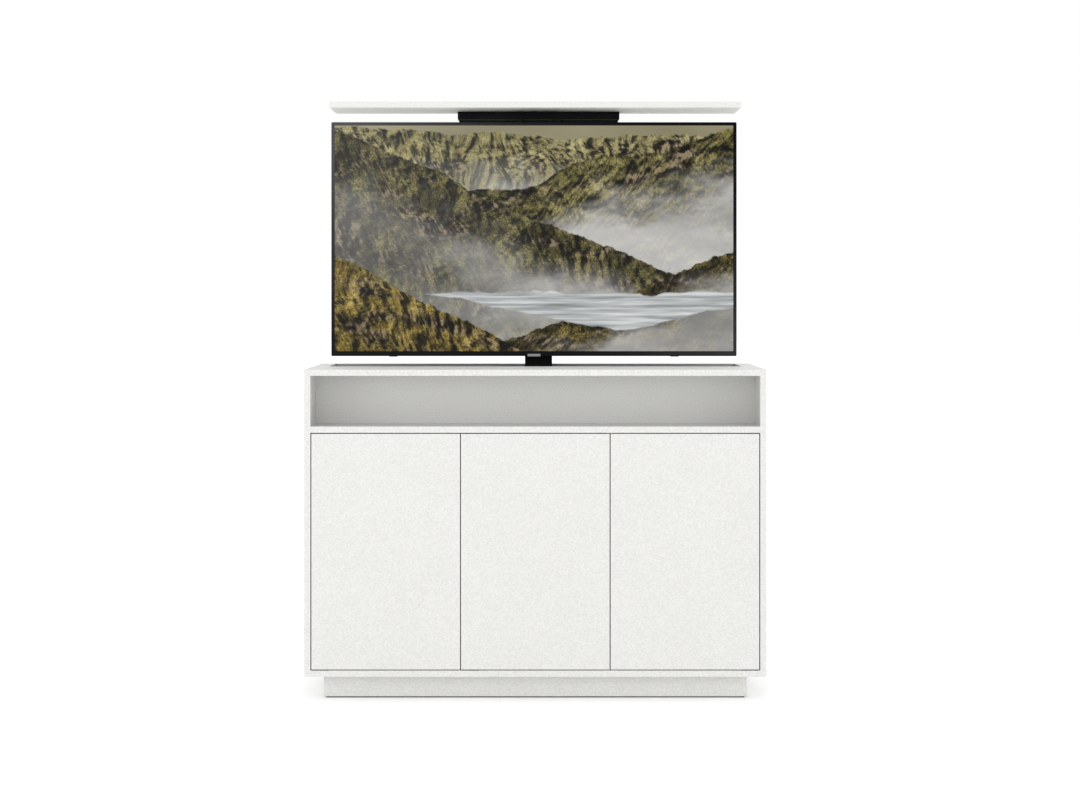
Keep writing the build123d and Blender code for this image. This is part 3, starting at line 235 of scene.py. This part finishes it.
def lacquer(light, dark):
    """Board faced in white: fine speckle and a faint cloudiness over an orange-peel skin.

    Painted shade: inside the niche the white is darkened, most of all near its floor, and the slot's edge is
    darkened too.
    """
    grain = 290.0
    skin = 0.0006
    niche_shade_end = -0.0704
    niche = (
        (-side_face - skin, case_front + eased_edge, niche_floor - skin),
        (side_face + skin, niche_shade_end, niche_ceiling + skin),
    )
    margin = lid_gap + fade
    slot = (
        (lid_low.x - margin, lid_low.y - margin, niche_ceiling + fade),
        (lid_high.x + margin, lid_high.y + margin, case_top - eased_edge),
    )

    def build(g):
        p = g.place()
        speckle = g.noise(p, grain, detail=1.0, rough=0.6)
        cloud = g.noise(p, 7.0, detail=3.0)
        fleck = g.steps(g.noise(p, grain * 1.9, detail=0.0), 0.70, 0.80)
        mixed = g.add(g.mul(g.steps(speckle, 0.33, 0.67), 0.78), g.mul(cloud, 0.22))
        colour = g.mix(g.mul(fleck, 0.18), g.ramp(mixed, (0.0, dark), (1.0, light)), dark)
        # Painted shade in the niche: darker towards its floor
        niche_shade = g.steps(g.split(p)[2], niche_floor, niche_ceiling, 0.77, 0.90)
        colour = g.mix(within(g, p, *niche), colour, g.dim(colour, g.join(niche_shade, niche_shade, niche_shade)))
        # Painted shade on the slot's edges
        colour = g.mix(within(g, p, *slot), colour, g.dim(colour, shade(0.70)))
        peel = g.noise(p, 620.0, detail=1.0)
        return {
            "Base Color": colour,
            "Roughness": g.steps(speckle, 0.25, 0.75, 0.46, 0.60),
            "Specular IOR Level": 0.35,
            "Normal": g.bump(peel, 0.00008, 0.6),
        }
    return build


def enamel(base, spread, roughness, level):
    """Powder coat, moulded plastic or foam: a fine grained skin, with a faint drift of tone and dust."""
    def build(g):
        p = g.place()
        skin = g.noise(p, 900.0, rough=0.6)
        drift = g.noise(p, 11.0, detail=3.0, rough=0.55)
        pale = tuple(min(1, c + spread) for c in base[:3]) + (1,)
        return {
            "Base Color": g.mix(g.add(g.mul(skin, 0.6), g.mul(drift, 0.4)), base, pale),
            "Roughness": g.steps(drift, 0.2, 0.8, roughness - 0.06, roughness + 0.08),
            "Specular IOR Level": level,
            "Normal": g.bump(skin, 0.00006, 0.7),
        }
    return build


def metal(base, dark, roughness, brushed=(1, 1, 1), grain=260.0, depth=0.00003):
    """Bare or plated metal with a brushed or mottled surface and duller handled places."""
    def build(g):
        lines = g.noise(g.scaled(g.place(), brushed), grain, detail=3.0, rough=0.6)
        wear = g.noise(g.place(), 14.0, detail=4.0, rough=0.6)
        return {
            "Base Color": g.mix(g.steps(g.add(g.mul(lines, 0.5), g.mul(wear, 0.5)), 0.3, 0.7), dark, base),
            "Metallic": 1.0,
            "Roughness": g.steps(wear, 0.25, 0.75, roughness - 0.07, roughness + 0.12),
            "Normal": g.bump(lines, depth, 0.5),
        }
    return build


def spangled(base, dark, roughness):
    """Zinc-coated sheet with its crystal pattern."""
    def build(g):
        p = g.place()
        cells = g.node("ShaderNodeTexVoronoi", {"Vector": p, "Scale": 110.0})
        flake = g.split(cells.outputs["Color"])[0]
        haze = g.noise(p, 22.0, detail=3.0)
        return {
            "Base Color": g.mix(g.add(g.mul(flake, 0.6), g.mul(haze, 0.4)), dark, base),
            "Metallic": 1.0,
            "Roughness": g.steps(flake, 0.0, 1.0, roughness - 0.06, roughness + 0.10),
            "Normal": g.bump(haze, 0.00005, 0.4),
        }
    return build


def belting(g):
    """Moulded black rubber, ribbed across its run."""
    p = g.place()
    skin = g.noise(p, 700.0, rough=0.6)
    dust = g.noise(p, 35.0, detail=4.0, rough=0.6)
    dusty = g.add(g.mul(skin, 0.4), g.mul(dust, 0.6))
    return {
        "Base Color": g.ramp(dusty, (0.25, tone(14, 14, 14)), (0.8, tone(40, 40, 39))),
        "Roughness": g.steps(dust, 0.2, 0.8, 0.62, 0.82),
        "Specular IOR Level": 0.3,
        "Normal": g.bump(g.ribs(p, 66.0), 0.0002, 0.25, g.bump(skin, 0.00006, 0.6)),
    }


def circuit(g):
    """Green solder mask over faint copper runs, with tinned dots."""
    p = g.place()
    cells = g.node("ShaderNodeTexBrick", {
        "Vector": p, "Scale": 70.0, "Color1": tone(16, 84, 44), "Color2": tone(22, 98, 52),
        "Mortar": tone(30, 122, 66), "Mortar Size": 0.03,
    })
    dots = g.node("ShaderNodeTexVoronoi", {"Vector": p, "Scale": 230.0, "Randomness": 0.85})
    tin = g.steps(dots.outputs["Distance"], 0.18, 0.24, 1.0, 0.0)
    return {
        "Base Color": g.mix(tin, cells.outputs[0], tone(178, 180, 176)),
        "Roughness": g.steps(g.noise(p, 60.0), 0.3, 0.7, 0.28, 0.42),
        "Normal": g.bump(tin, 0.0002, 0.4),
    }


def ribbed_cover(g):
    """Back of the TV: dark moulding with fine ribs across it, dusty on its ledges."""
    p = g.place()
    skin = g.noise(p, 800.0, rough=0.6)
    dust = g.noise(p, 9.0, detail=5.0, rough=0.6)
    ribs = g.ribs(p, 50.0)
    dusty = g.add(g.mul(dust, 0.7), g.mul(skin, 0.3))
    colour = g.ramp(dusty, (0.3, tone(19, 19, 20)), (0.75, tone(34, 34, 35)))
    return {
        "Base Color": g.mix(g.mul(ribs, 0.35), colour, tone(14, 14, 15)),
        "Roughness": g.steps(dust, 0.2, 0.8, 0.42, 0.58),
        "Specular IOR Level": 0.25,
        "Normal": g.bump(ribs, 0.0003, 0.5, g.bump(skin, 0.00005, 0.6)),
    }


def brushed_plate(g):
    """Grey plate, brushed along its length."""
    lines = g.noise(g.scaled(g.place(), (6, 400, 400)), 12.0, detail=3.0, rough=0.6)
    return {
        "Base Color": g.ramp(lines, (0.3, tone(66, 66, 67)), (0.7, tone(104, 104, 105))),
        "Metallic": 1.0,
        "Roughness": g.steps(lines, 0.3, 0.7, 0.26, 0.4),
        "Normal": g.bump(lines, 0.00003, 0.4),
    }


def piano_black(g):
    """Polished black frame of the TV, with hairlines and a breath of dust."""
    p = g.place()
    dust = g.noise(p, 420.0, rough=0.7)
    drift = g.noise(p, 6.0)
    return {
        "Base Color": g.ramp(dust, (0.45, tone(1, 1, 1)), (0.85, tone(5, 5, 6))),
        "Roughness": g.steps(drift, 0.2, 0.8, 0.18, 0.22),
        "Specular IOR Level": 0.06,
        "Normal": g.bump(g.noise(p, 90.0, detail=1.0), 0.00001, 0.4),
    }


def relief(g, x, y, seed, coarse, lean):
    """A hillside seen close: how its rills catch a light from the upper left, and how high it stands."""
    bend = g.mul(g.sub(g.noise(g.join(x, y, seed), coarse * 0.5), 0.5), 0.30)
    along = g.add(g.add(x, g.mul(y, lean)), bend)
    down = g.add(g.sub(y, g.mul(x, lean)), bend)

    def height(right, up):
        place = g.join(g.add(g.mul(along, 3.1), right), g.add(g.mul(down, 1.7), up), seed)
        return g.noise(place, coarse, detail=9.0, rough=0.60)

    here = height(0.0, 0.0)
    lit = g.steps(g.sub(here, height(0.030, -0.034)), -0.075, 0.075)
    return lit, here


def ground_cover(g, x, y, slope):
    """The moss and bare stone of one slope, lit, with dark gullies."""
    seed = slope["seed"]
    lit, here = relief(g, x, y, seed, slope["coarse"], slope["lean"])
    tufts = g.noise(g.join(g.mul(x, 95.0), g.mul(y, 70.0), seed), 1.6, rough=0.6)
    patches = g.noise(g.join(g.mul(x, 2.2), g.mul(y, 3.4), seed + 9.0), 2.6, detail=6.0, rough=0.62)
    dark, middle, light = slope["moss"]
    tint = g.add(g.mul(patches, 0.55), g.mul(tufts, 0.45))
    moss = g.ramp(tint, (0.34, tone(*dark)), (0.50, tone(*middle)), (0.66, tone(*light)))
    veins = g.noise(g.join(g.mul(x, 1.6), g.mul(y, 4.4), seed + 2.0), 2.7, detail=7.0, rough=0.6)
    chips = g.add(g.mul(lit, 0.6), g.mul(tufts, 0.4))
    stone = g.ramp(chips, (0.25, tone(24, 21, 18)), (0.55, tone(82, 72, 60)), (0.85, tone(140, 128, 112)))
    ground = g.mix(g.mul(g.steps(veins, 0.50, 0.60), 0.8), moss, stone)
    sun = g.ramp(lit, (0.0, (0.20, 0.20, 0.22, 1)), (0.45, shade(0.78)), (1.0, (1.45, 1.42, 1.32, 1)))
    gully = g.steps(here, 0.30, 0.47, 0.22, 1.0)
    return g.dim(g.dim(ground, sun), g.join(gully, gully, gully))


def draw_slope(g, picture, x, y, slope, cloud):
    """The picture with one slope in front, and cloud climbing it from below."""
    seed = slope["seed"]
    swell = g.sub(g.noise(g.join(x, seed, 0.0), slope["bends"]), 0.5)
    ragged = g.sub(g.noise(g.join(x, y, seed + 5.0), 22.0, detail=5.0, rough=0.62), 0.5)
    crest = g.add(slope["crest"], g.mul(x, slope["rise"]))
    crest = g.add(g.add(crest, g.mul(swell, slope["roll"] * 2)), g.mul(ragged, 0.045))
    depth = g.sub(crest, y)
    ground = ground_cover(g, x, y, slope)
    if slope["veil"]:
        wisps = g.noise(g.join(g.mul(x, 1.5), g.mul(y, 2.6), seed + 4.0), 2.1, detail=6.0, rough=0.58)
        thick = g.add(g.steps(depth, 0.04, slope["climb"], 0.0, 0.8), g.mul(g.sub(wisps, 0.5), 1.3))
        drift = g.steps(x, 0.25, 1.35, 0.25, 1.0)
        veil = g.math("MINIMUM", g.mul(g.steps(thick, 0.1, 0.9, smooth=True), drift), slope["veil"])
        ground = g.mix(veil, ground, cloud)
    return g.mix(g.steps(depth, -0.003, 0.004, smooth=True), picture, ground)


def draw_lake(g, picture, x, y):
    """The picture with a lake in front: flat water that holds the sky, with darker wind lines."""
    calm = g.noise(g.join(g.mul(x, 1.2), g.mul(y, 26.0), 60.0), 2.2, detail=4.0, rough=0.55)
    water = g.ramp(calm, (0.3, tone(132, 136, 136)), (0.7, tone(226, 228, 228)))
    shore = g.mul(g.sub(g.noise(g.join(x, y, 70.0), 4.0, detail=4.0, rough=0.55), 0.5), 0.10)
    far = g.steps(g.add(y, shore), 0.255, 0.262, 1.0, 0.0)
    bay = g.mul(g.math("ABSOLUTE", g.sub(x, 1.25)), 0.20)
    near = g.steps(g.add(g.sub(y, bay), g.mul(shore, 0.6)), 0.085, 0.092)
    return g.mix(g.mul(far, near), picture, water)


def screen_picture(g):
    """Mossy slopes round a high lake, with low cloud lying in the valley.

    Places in it are in shares of the screen's height from its lower left corner. Each slope has its
    crest at the left edge and how far that rises to the right, how it rolls and how closely it bends,
    a seed, the coarseness of its relief and the lean of its rills, dark, middle and light moss, and
    how far and how thickly cloud climbs it.
    """
    p = g.split(g.place())
    x = g.mul(g.sub(p[0], tv_low.x + tv_frame), 1 / screen_height)
    y = g.mul(g.sub(p[2], tv_high.z - tv_frame - screen_height), 1 / screen_height)
    haze = g.noise(g.join(g.mul(x, 0.8), g.mul(y, 2.4), 4.0), 1.5, detail=5.0, rough=0.55)
    greys = (0.25, tone(150, 150, 147)), (0.58, tone(214, 213, 211)), (0.80, tone(234, 233, 231))
    cloud = g.ramp(haze, *greys)
    picture = g.ramp(haze, (0.25, tone(142, 137, 112)), (0.75, tone(176, 170, 144)))
    behind_lake = (
        dict(crest=0.99, rise=-0.03, roll=0.08, bends=1.6, seed=3.1, coarse=7.0, lean=0.5,
             moss=((92, 88, 62), (140, 134, 98), (176, 170, 134)), climb=0.30, veil=0.55),
        dict(crest=0.56, rise=0.24, roll=0.16, bends=1.5, seed=8.4, coarse=5.0, lean=-0.6,
             moss=((42, 40, 26), (106, 101, 64), (164, 156, 112)), climb=0.36, veil=0.75),
        dict(crest=0.98, rise=-0.42, roll=0.12, bends=1.3, seed=13.7, coarse=4.6, lean=0.7,
             moss=((26, 24, 17), (86, 82, 52), (152, 145, 100)), climb=0.34, veil=0.85),
        dict(crest=-0.26, rise=0.40, roll=0.10, bends=1.4, seed=21.3, coarse=4.4, lean=-0.5,
             moss=((20, 18, 12), (78, 70, 38), (146, 134, 76)), climb=0.26, veil=0.60),
    )
    in_front = dict(crest=0.42, rise=-0.50, roll=0.08, bends=2.0, seed=30.9, coarse=5.4, lean=0.6,
                    moss=((46, 40, 20), (118, 104, 54), (180, 162, 104)), climb=0.0, veil=0.0)
    for slope in behind_lake:
        picture = draw_slope(g, picture, x, y, slope, cloud)
    picture = draw_lake(g, picture, x, y)
    return draw_slope(g, picture, x, y, in_front, cloud)


def lit_screen(g):
    """The TV's panel: it shows its picture by its own light under a smooth cover."""
    picture = g.node("ShaderNodeGamma", {"Color": screen_picture(g), "Gamma": 1.16})
    fine = g.noise(g.place(), 900.0, detail=1.0)
    return {
        "Base Color": tone(7, 7, 8),
        "Specular IOR Level": 0.05,
        "Emission Color": picture.outputs[0],
        "Emission Strength": 1.0,
        "Roughness": g.steps(fine, 0.3, 0.7, 0.24, 0.32),
    }


surfaces = {
    "white_board": lacquer((0.915, 0.913, 0.895, 1), (0.75, 0.748, 0.730, 1)),
    "black_steel": enamel(tone(10, 10, 10), 0.003, 0.46, 0.05),
    "zinc_steel": metal(tone(206, 209, 212), tone(158, 161, 164), 0.32),
    "sheet_steel": spangled(tone(196, 199, 202), tone(150, 153, 157), 0.38),
    "nickel_hinge": metal(tone(216, 212, 204), tone(176, 171, 162), 0.22),
    "black_plastic": enamel(tone(20, 20, 21), 0.008, 0.48, 0.25),
    "grey_plastic": enamel(tone(118, 119, 120), 0.03, 0.45, 0.4),
    "pale_plastic": enamel(tone(216, 215, 210), 0.03, 0.42, 0.4),
    "black_rubber": belting,
    "motor_steel": metal(tone(120, 122, 126), tone(74, 76, 80), 0.36, brushed=(1, 1, 8)),
    "cast_grey": metal(tone(168, 170, 171), tone(122, 124, 126), 0.5, grain=500.0, depth=0.0001),
    "gloss_black": piano_black,
    "screen": lit_screen,
    "badge": brushed_plate,
    "board_green": circuit,
}
finishes = {name: finish(name, build) for name, build in surfaces.items()}
own = {"tv_back_cover": finish("tv_back_moulding", ribbed_cover)}
black_nickel = finish("black_nickel", metal(tone(52, 51, 50), tone(32, 31, 30), 0.30))
own.update({name: black_nickel for name in nodes if name.endswith("hinge_leaves")})
for name, piece in nodes.items():
    piece.data.materials.clear()
    piece.data.materials.append(own.get(name, finishes[slot_of[name]]))

# Edges of boards and frames are eased a little, as edging tape and paint leave them
eased = {
    0.0005: ("divider_panel", "niche_back_panel", "tv_bezel", "head_frame", "lid_bracket"),
    0.0006: (
        "left_side_panel", "right_side_panel", "top_panel", "bottom_panel",
        "plinth_frame", "back_panel", "shelves",
    ),
    0.0008: ("lid", "plinth_front", "left_door", "center_door", "right_door"),
}
for width, names in eased.items():
    for name in names:
        weld = nodes[name].modifiers.new("join", "WELD")
        weld.merge_threshold = 0.00001
        ease = nodes[name].modifiers.new("ease", "BEVEL")
        ease.width = width
        ease.segments = 2
        ease.limit_method = "ANGLE"
        ease.angle_limit = math.radians(40)

# World: even white surroundings at a plain level
world = bpy.data.worlds.new("surroundings")
bpy.context.scene.world = world
world.use_nodes = True
w = Graph(world.node_tree)
sky = w.node("ShaderNodeBackground", {"Color": (1, 1, 1, 1), "Strength": 1.0})
w.put(w.node("ShaderNodeOutputWorld").inputs[0], sky.outputs[0])


def pale_ground():
    """The floor's material: camera, gloss and glass see it nearly white, with the cabinet's soft shadow."""
    material = bpy.data.materials.new("floor_pale")
    material.use_nodes = True
    g = Graph(material.node_tree)
    rays = g.node("ShaderNodeLightPath").outputs
    seen = g.math("MAXIMUM", rays["Is Camera Ray"], rays["Is Glossy Ray"])
    seen = g.math("MAXIMUM", seen, rays["Is Transmission Ray"])
    plain = g.node("ShaderNodeBsdfDiffuse", {"Color": (0.86, 0.86, 0.85, 1)})
    shown = g.node("ShaderNodeBsdfDiffuse", {"Color": (1, 1, 1, 1)})
    glow = g.node("ShaderNodeEmission", {"Color": (1, 1, 1, 1), "Strength": 0.15})
    both = g.node("ShaderNodeAddShader", {0: shown.outputs[0], 1: glow.outputs[0]})
    pick = g.node("ShaderNodeMixShader", {0: seen, 1: plain.outputs[0], 2: both.outputs[0]})
    g.end(pick.outputs[0])
    return material


reach = 40
floor_mesh = bpy.data.meshes.new("floor")
floor_corners = [(-reach, -reach, 0), (reach, -reach, 0), (reach, reach, 0), (-reach, reach, 0)]
floor_mesh.from_pydata(floor_corners, [], [(0, 1, 2, 3)])
floor_mesh.materials.append(pale_ground())
floor = add_object("floor", floor_mesh)
floor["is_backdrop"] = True


def lamp(name, place, aim, size, power):
    """A soft rectangular lamp that faces a place."""
    light = bpy.data.lights.new(name, "AREA")
    light.shape = "RECTANGLE"
    light.size, light.size_y = size
    light.energy = power
    made = add_object(name, light)
    made.location = place
    made.rotation_euler = (Vector(aim) - Vector(place)).to_track_quat("-Z", "Y").to_euler()
    return made


lamp("key", (-4.6, -4.0, 1.7), (0, 0, 1.0), (2.2, 2.2), 26)
lamp("fill", (4.8, -3.6, 1.5), (0, 0, 0.8), (2.6, 2.2), 20)
# Soft cards that only gloss shows: bright at the middle and fainter outwards, for gleams on polished parts
for card in (
    lamp("gleam_left_core", (-1.20, -6.3, 2.20), (0, 0, 1.4), (0.6, 0.6), 21),
    lamp("gleam_left_mid", (-1.25, -6.3, 2.20), (0, 0, 1.4), (1.2, 1.2), 48),
    lamp("gleam_left_wide", (-1.30, -6.3, 2.20), (0, 0, 1.4), (2.2, 2.2), 81),
    lamp("gleam_right_core", (1.25, -6.3, 0.74), (0, 0, 1.2), (0.8, 0.7), 16),
    lamp("gleam_right_wide", (1.35, -6.3, 0.80), (0, 0, 1.2), (1.5, 1.3), 16),
):
    card.visible_diffuse = False


def dress(piece, material, body):
    """Gives a piece its material and the body that it rides on."""
    piece.data.materials.append(material)
    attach(piece, body)


def piece_of(name, bm):
    """An object made of a finished mesh, with its normals facing out."""
    mesh = bpy.data.meshes.new(name)
    bmesh.ops.recalc_face_normals(bm, faces=bm.faces)
    bm.to_mesh(mesh)
    bm.free()
    return add_object(name, mesh)


def bars(name, corners, bevel):
    """One piece made of bars, each given by its lowest and highest corner, with eased edges."""
    sides = ((0, 1, 3, 2), (4, 6, 7, 5), (0, 4, 5, 1), (2, 3, 7, 6), (0, 2, 6, 4), (1, 5, 7, 3))
    bm = bmesh.new()
    for low, high in corners:
        spots = [(x, y, z) for x in (low[0], high[0]) for y in (low[1], high[1]) for z in (low[2], high[2])]
        verts = [bm.verts.new(spot) for spot in spots]
        for side in sides:
            bm.faces.new([verts[i] for i in side])
    piece = piece_of(name, bm)
    ease = piece.modifiers.new("ease", "BEVEL")
    ease.width = bevel
    ease.segments = 3
    return piece


def ring(bm, centre, radius, count):
    """Vertices round a circle that faces the back."""
    x, y, z = centre
    angles = [math.tau * i / count for i in range(count)]
    return [bm.verts.new((x + radius * math.cos(a), y, z + radius * math.sin(a))) for a in angles]


def walls(bm, loops):
    """Faces between each loop of vertices and the next."""
    for low, high in zip(loops, loops[1:]):
        for i in range(len(low)):
            after = (i + 1) % len(low)
            bm.faces.new((low[i], low[after], high[after], high[i]))


# The crossbar's front lip: three runs of its upper edge, between the drop arms, lighter grey as a painted
# highlight on that edge
lip_depth = 0.0010
lip_low = bar_top - 0.0034
lip_high = bar_top - 0.0006
lip_runs = ((-0.2350, -0.0590), (-0.0395, 0.0595), (0.0790, 0.2550))
lip_corners = [((a, bar_front - lip_depth, lip_low), (b, bar_front, lip_high)) for a, b in lip_runs]
lip = bars("crossbar_lip", lip_corners, 0.0004)
# Lighter grey: a painted highlight along the crossbar's edge
dress(lip, finish("painted_edge_highlight", enamel(tone(56, 56, 56), 0.015, 0.40, 0.08)), "raised_stage")


def shadow_strip_runs():
    """Four thin walls that stand just inside the plinth's edge, outside its glides: a near-black strip that
    paints the contact shadow under the plinth.
    """
    half_x = plinth_high.x - 0.0068
    half_y = plinth_high.y - 0.0005
    wall = 0.0012
    floor_gap = 0.0001
    top = plinth_low.z
    for side in (-1, 1):
        y = sorted((side * half_y, side * (half_y - wall)))
        yield (-half_x, y[0], floor_gap), (half_x, y[1], top)
        x = sorted((side * half_x, side * (half_x - wall)))
        yield (x[0], wall - half_y, floor_gap), (x[1], half_y - wall, top)


# Near-black strip under the plinth: a painted shadow in the gap below it
shadow_strip = bars("plinth_shadow_strip", list(shadow_strip_runs()), 0.0004)
dress(shadow_strip, finish("painted_shadow_black", enamel(tone(7, 7, 7), 0.002, 0.75, 0.05)), "cabinet")


def screw_head(bm, spot, radius):
    """A domed head that faces the back, with a cross recess."""
    x, y, z = spot
    count = 24
    dome = ((1.0, 0.0), (1.0, 0.25), (0.93, 0.42), (0.72, 0.56))
    loops = [ring(bm, (x, y + radius * rise, z), radius * share, count) for share, rise in dome]
    walls(bm, loops)
    near = 0.16 * radius
    far = 0.46 * radius
    cross = [
        (near, near), (far, near), (far, -near), (near, -near), (near, -far), (-near, -far),
        (-near, -near), (-far, -near), (-far, near), (-near, near), (-near, far), (near, far),
    ]
    mouth = [bm.verts.new((x + a, y + radius * 0.60, z + b)) for a, b in cross]
    bed = [bm.verts.new((x + a * 0.8, y + radius * 0.15, z + b * 0.8)) for a, b in cross]
    crown = loops[-1]
    edges = [bm.edges.get((crown[i], crown[(i + 1) % count])) for i in range(count)]
    edges += [bm.edges.new((mouth[i], mouth[(i + 1) % len(cross)])) for i in range(len(cross))]
    bmesh.ops.triangle_fill(bm, use_beauty=True, edges=edges)
    walls(bm, (mouth, bed))
    bm.faces.new(bed)


# The TV's back cover: screws round its rim, and a socket plate low on its middle part
screw_radius = 0.0042
rim_face = 0.0600
rim_inset = 0.022
middle_x = (cover_low.x + cover_high.x) / 2
middle_z = (cover_low.z + cover_high.z) / 2
rim_rows = (cover_low.z + rim_inset, cover_high.z - rim_inset)
rim_spots = [(middle_x + x, rim_face, z) for z in rim_rows for x in (-0.56, -0.30, 0.0, 0.30, 0.56)]
rim_spots += [(middle_x + x, rim_face, middle_z) for x in (-0.585, 0.585)]
bm = bmesh.new()
for spot in rim_spots:
    screw_head(bm, spot, screw_radius)
dress(piece_of("cover_screws", bm), finishes["black_steel"], "raised_stage")

# The socket plate's middle and size, and how far up in it the sockets start
cover_face = cover_high.y
plate_x = middle_x + 0.335
plate_z = 1.165
plate_wide = 0.168
plate_tall = 0.060
seat = 0.0012


def off_plate(x, z, wide, tall, low, high):
    """A bar that stands off the socket plate, by its middle, its width and height, and its two depths."""
    x += plate_x
    z += plate_z
    return (x - wide / 2, cover_face + low, z - tall / 2), (x + wide / 2, cover_face + high, z + tall / 2)


def off_plate_frame(x, z, wide, tall, wall, low, high):
    """Four bars round an opening that stand off the socket plate."""
    side = (wide - wall) / 2
    end = (tall - wall) / 2
    for up in (-end, end):
        yield off_plate(x, z + up, wide, wall, low, high)
    for across in (-side, side):
        yield off_plate(x + across, z, wall, tall - 2 * wall, low, high)


plate = [off_plate(0, 0, plate_wide, plate_tall, 0, 0.0016)]
plate += off_plate_frame(0, 0, plate_wide, plate_tall, 0.0024, 0.0010, 0.0034)
dress(bars("socket_plate", plate, 0.0005), finishes["black_plastic"], "raised_stage")

# Flat sockets in a row, three wide and two narrow, each a metal shell round a black tongue, and a square one
row = 0.008
shells = []
tongues = []
for x in (-0.062, -0.038, -0.014):
    shells += off_plate_frame(x, row, 0.0160, 0.0062, 0.0007, seat, 0.0046)
    tongues.append(off_plate(x, row + 0.0001, 0.0116, 0.0014, seat, 0.0036))
for x in (0.012, 0.034):
    shells += off_plate_frame(x, row, 0.0142, 0.0068, 0.0006, seat, 0.0044)
    tongues.append(off_plate(x, row + 0.0002, 0.0104, 0.0020, seat, 0.0034))
shells += off_plate_frame(0.062, 0.006, 0.0170, 0.0150, 0.0009, seat, 0.0050)
dress(bars("socket_shells", shells, 0.0002), finishes["zinc_steel"], "raised_stage")
dress(bars("socket_tongues", tongues, 0.0002), finishes["black_plastic"], "raised_stage")

# Round jacks under the sockets: turned rings with a hollow middle, from a profile of radius and rise
jack_profile = (
    (0.0046, seat), (0.0046, 0.0042), (0.0041, 0.0047),
    (0.0031, 0.0047), (0.0027, 0.0043), (0.0027, 0.0014),
)
jack_row = plate_z - 0.013
jack_sides = 28
bm = bmesh.new()
for x in (-0.058, -0.036, -0.014, 0.012):
    loops = []
    for radius, rise in jack_profile:
        loops.append(ring(bm, (plate_x + x, cover_face + rise, jack_row), radius, jack_sides))
    walls(bm, loops)
    bm.faces.new(loops[-1])
jacks = piece_of("jack_rings", bm)
for polygon in jacks.data.polygons:
    polygon.use_smooth = len(polygon.vertices) == 4
dress(jacks, finishes["nickel_hinge"], "raised_stage")

boxes = {"cad": cad_bounds, "visual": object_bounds()}
{key: [[float(c) for c in corner] for corner in box] for key, box in boxes.items()}
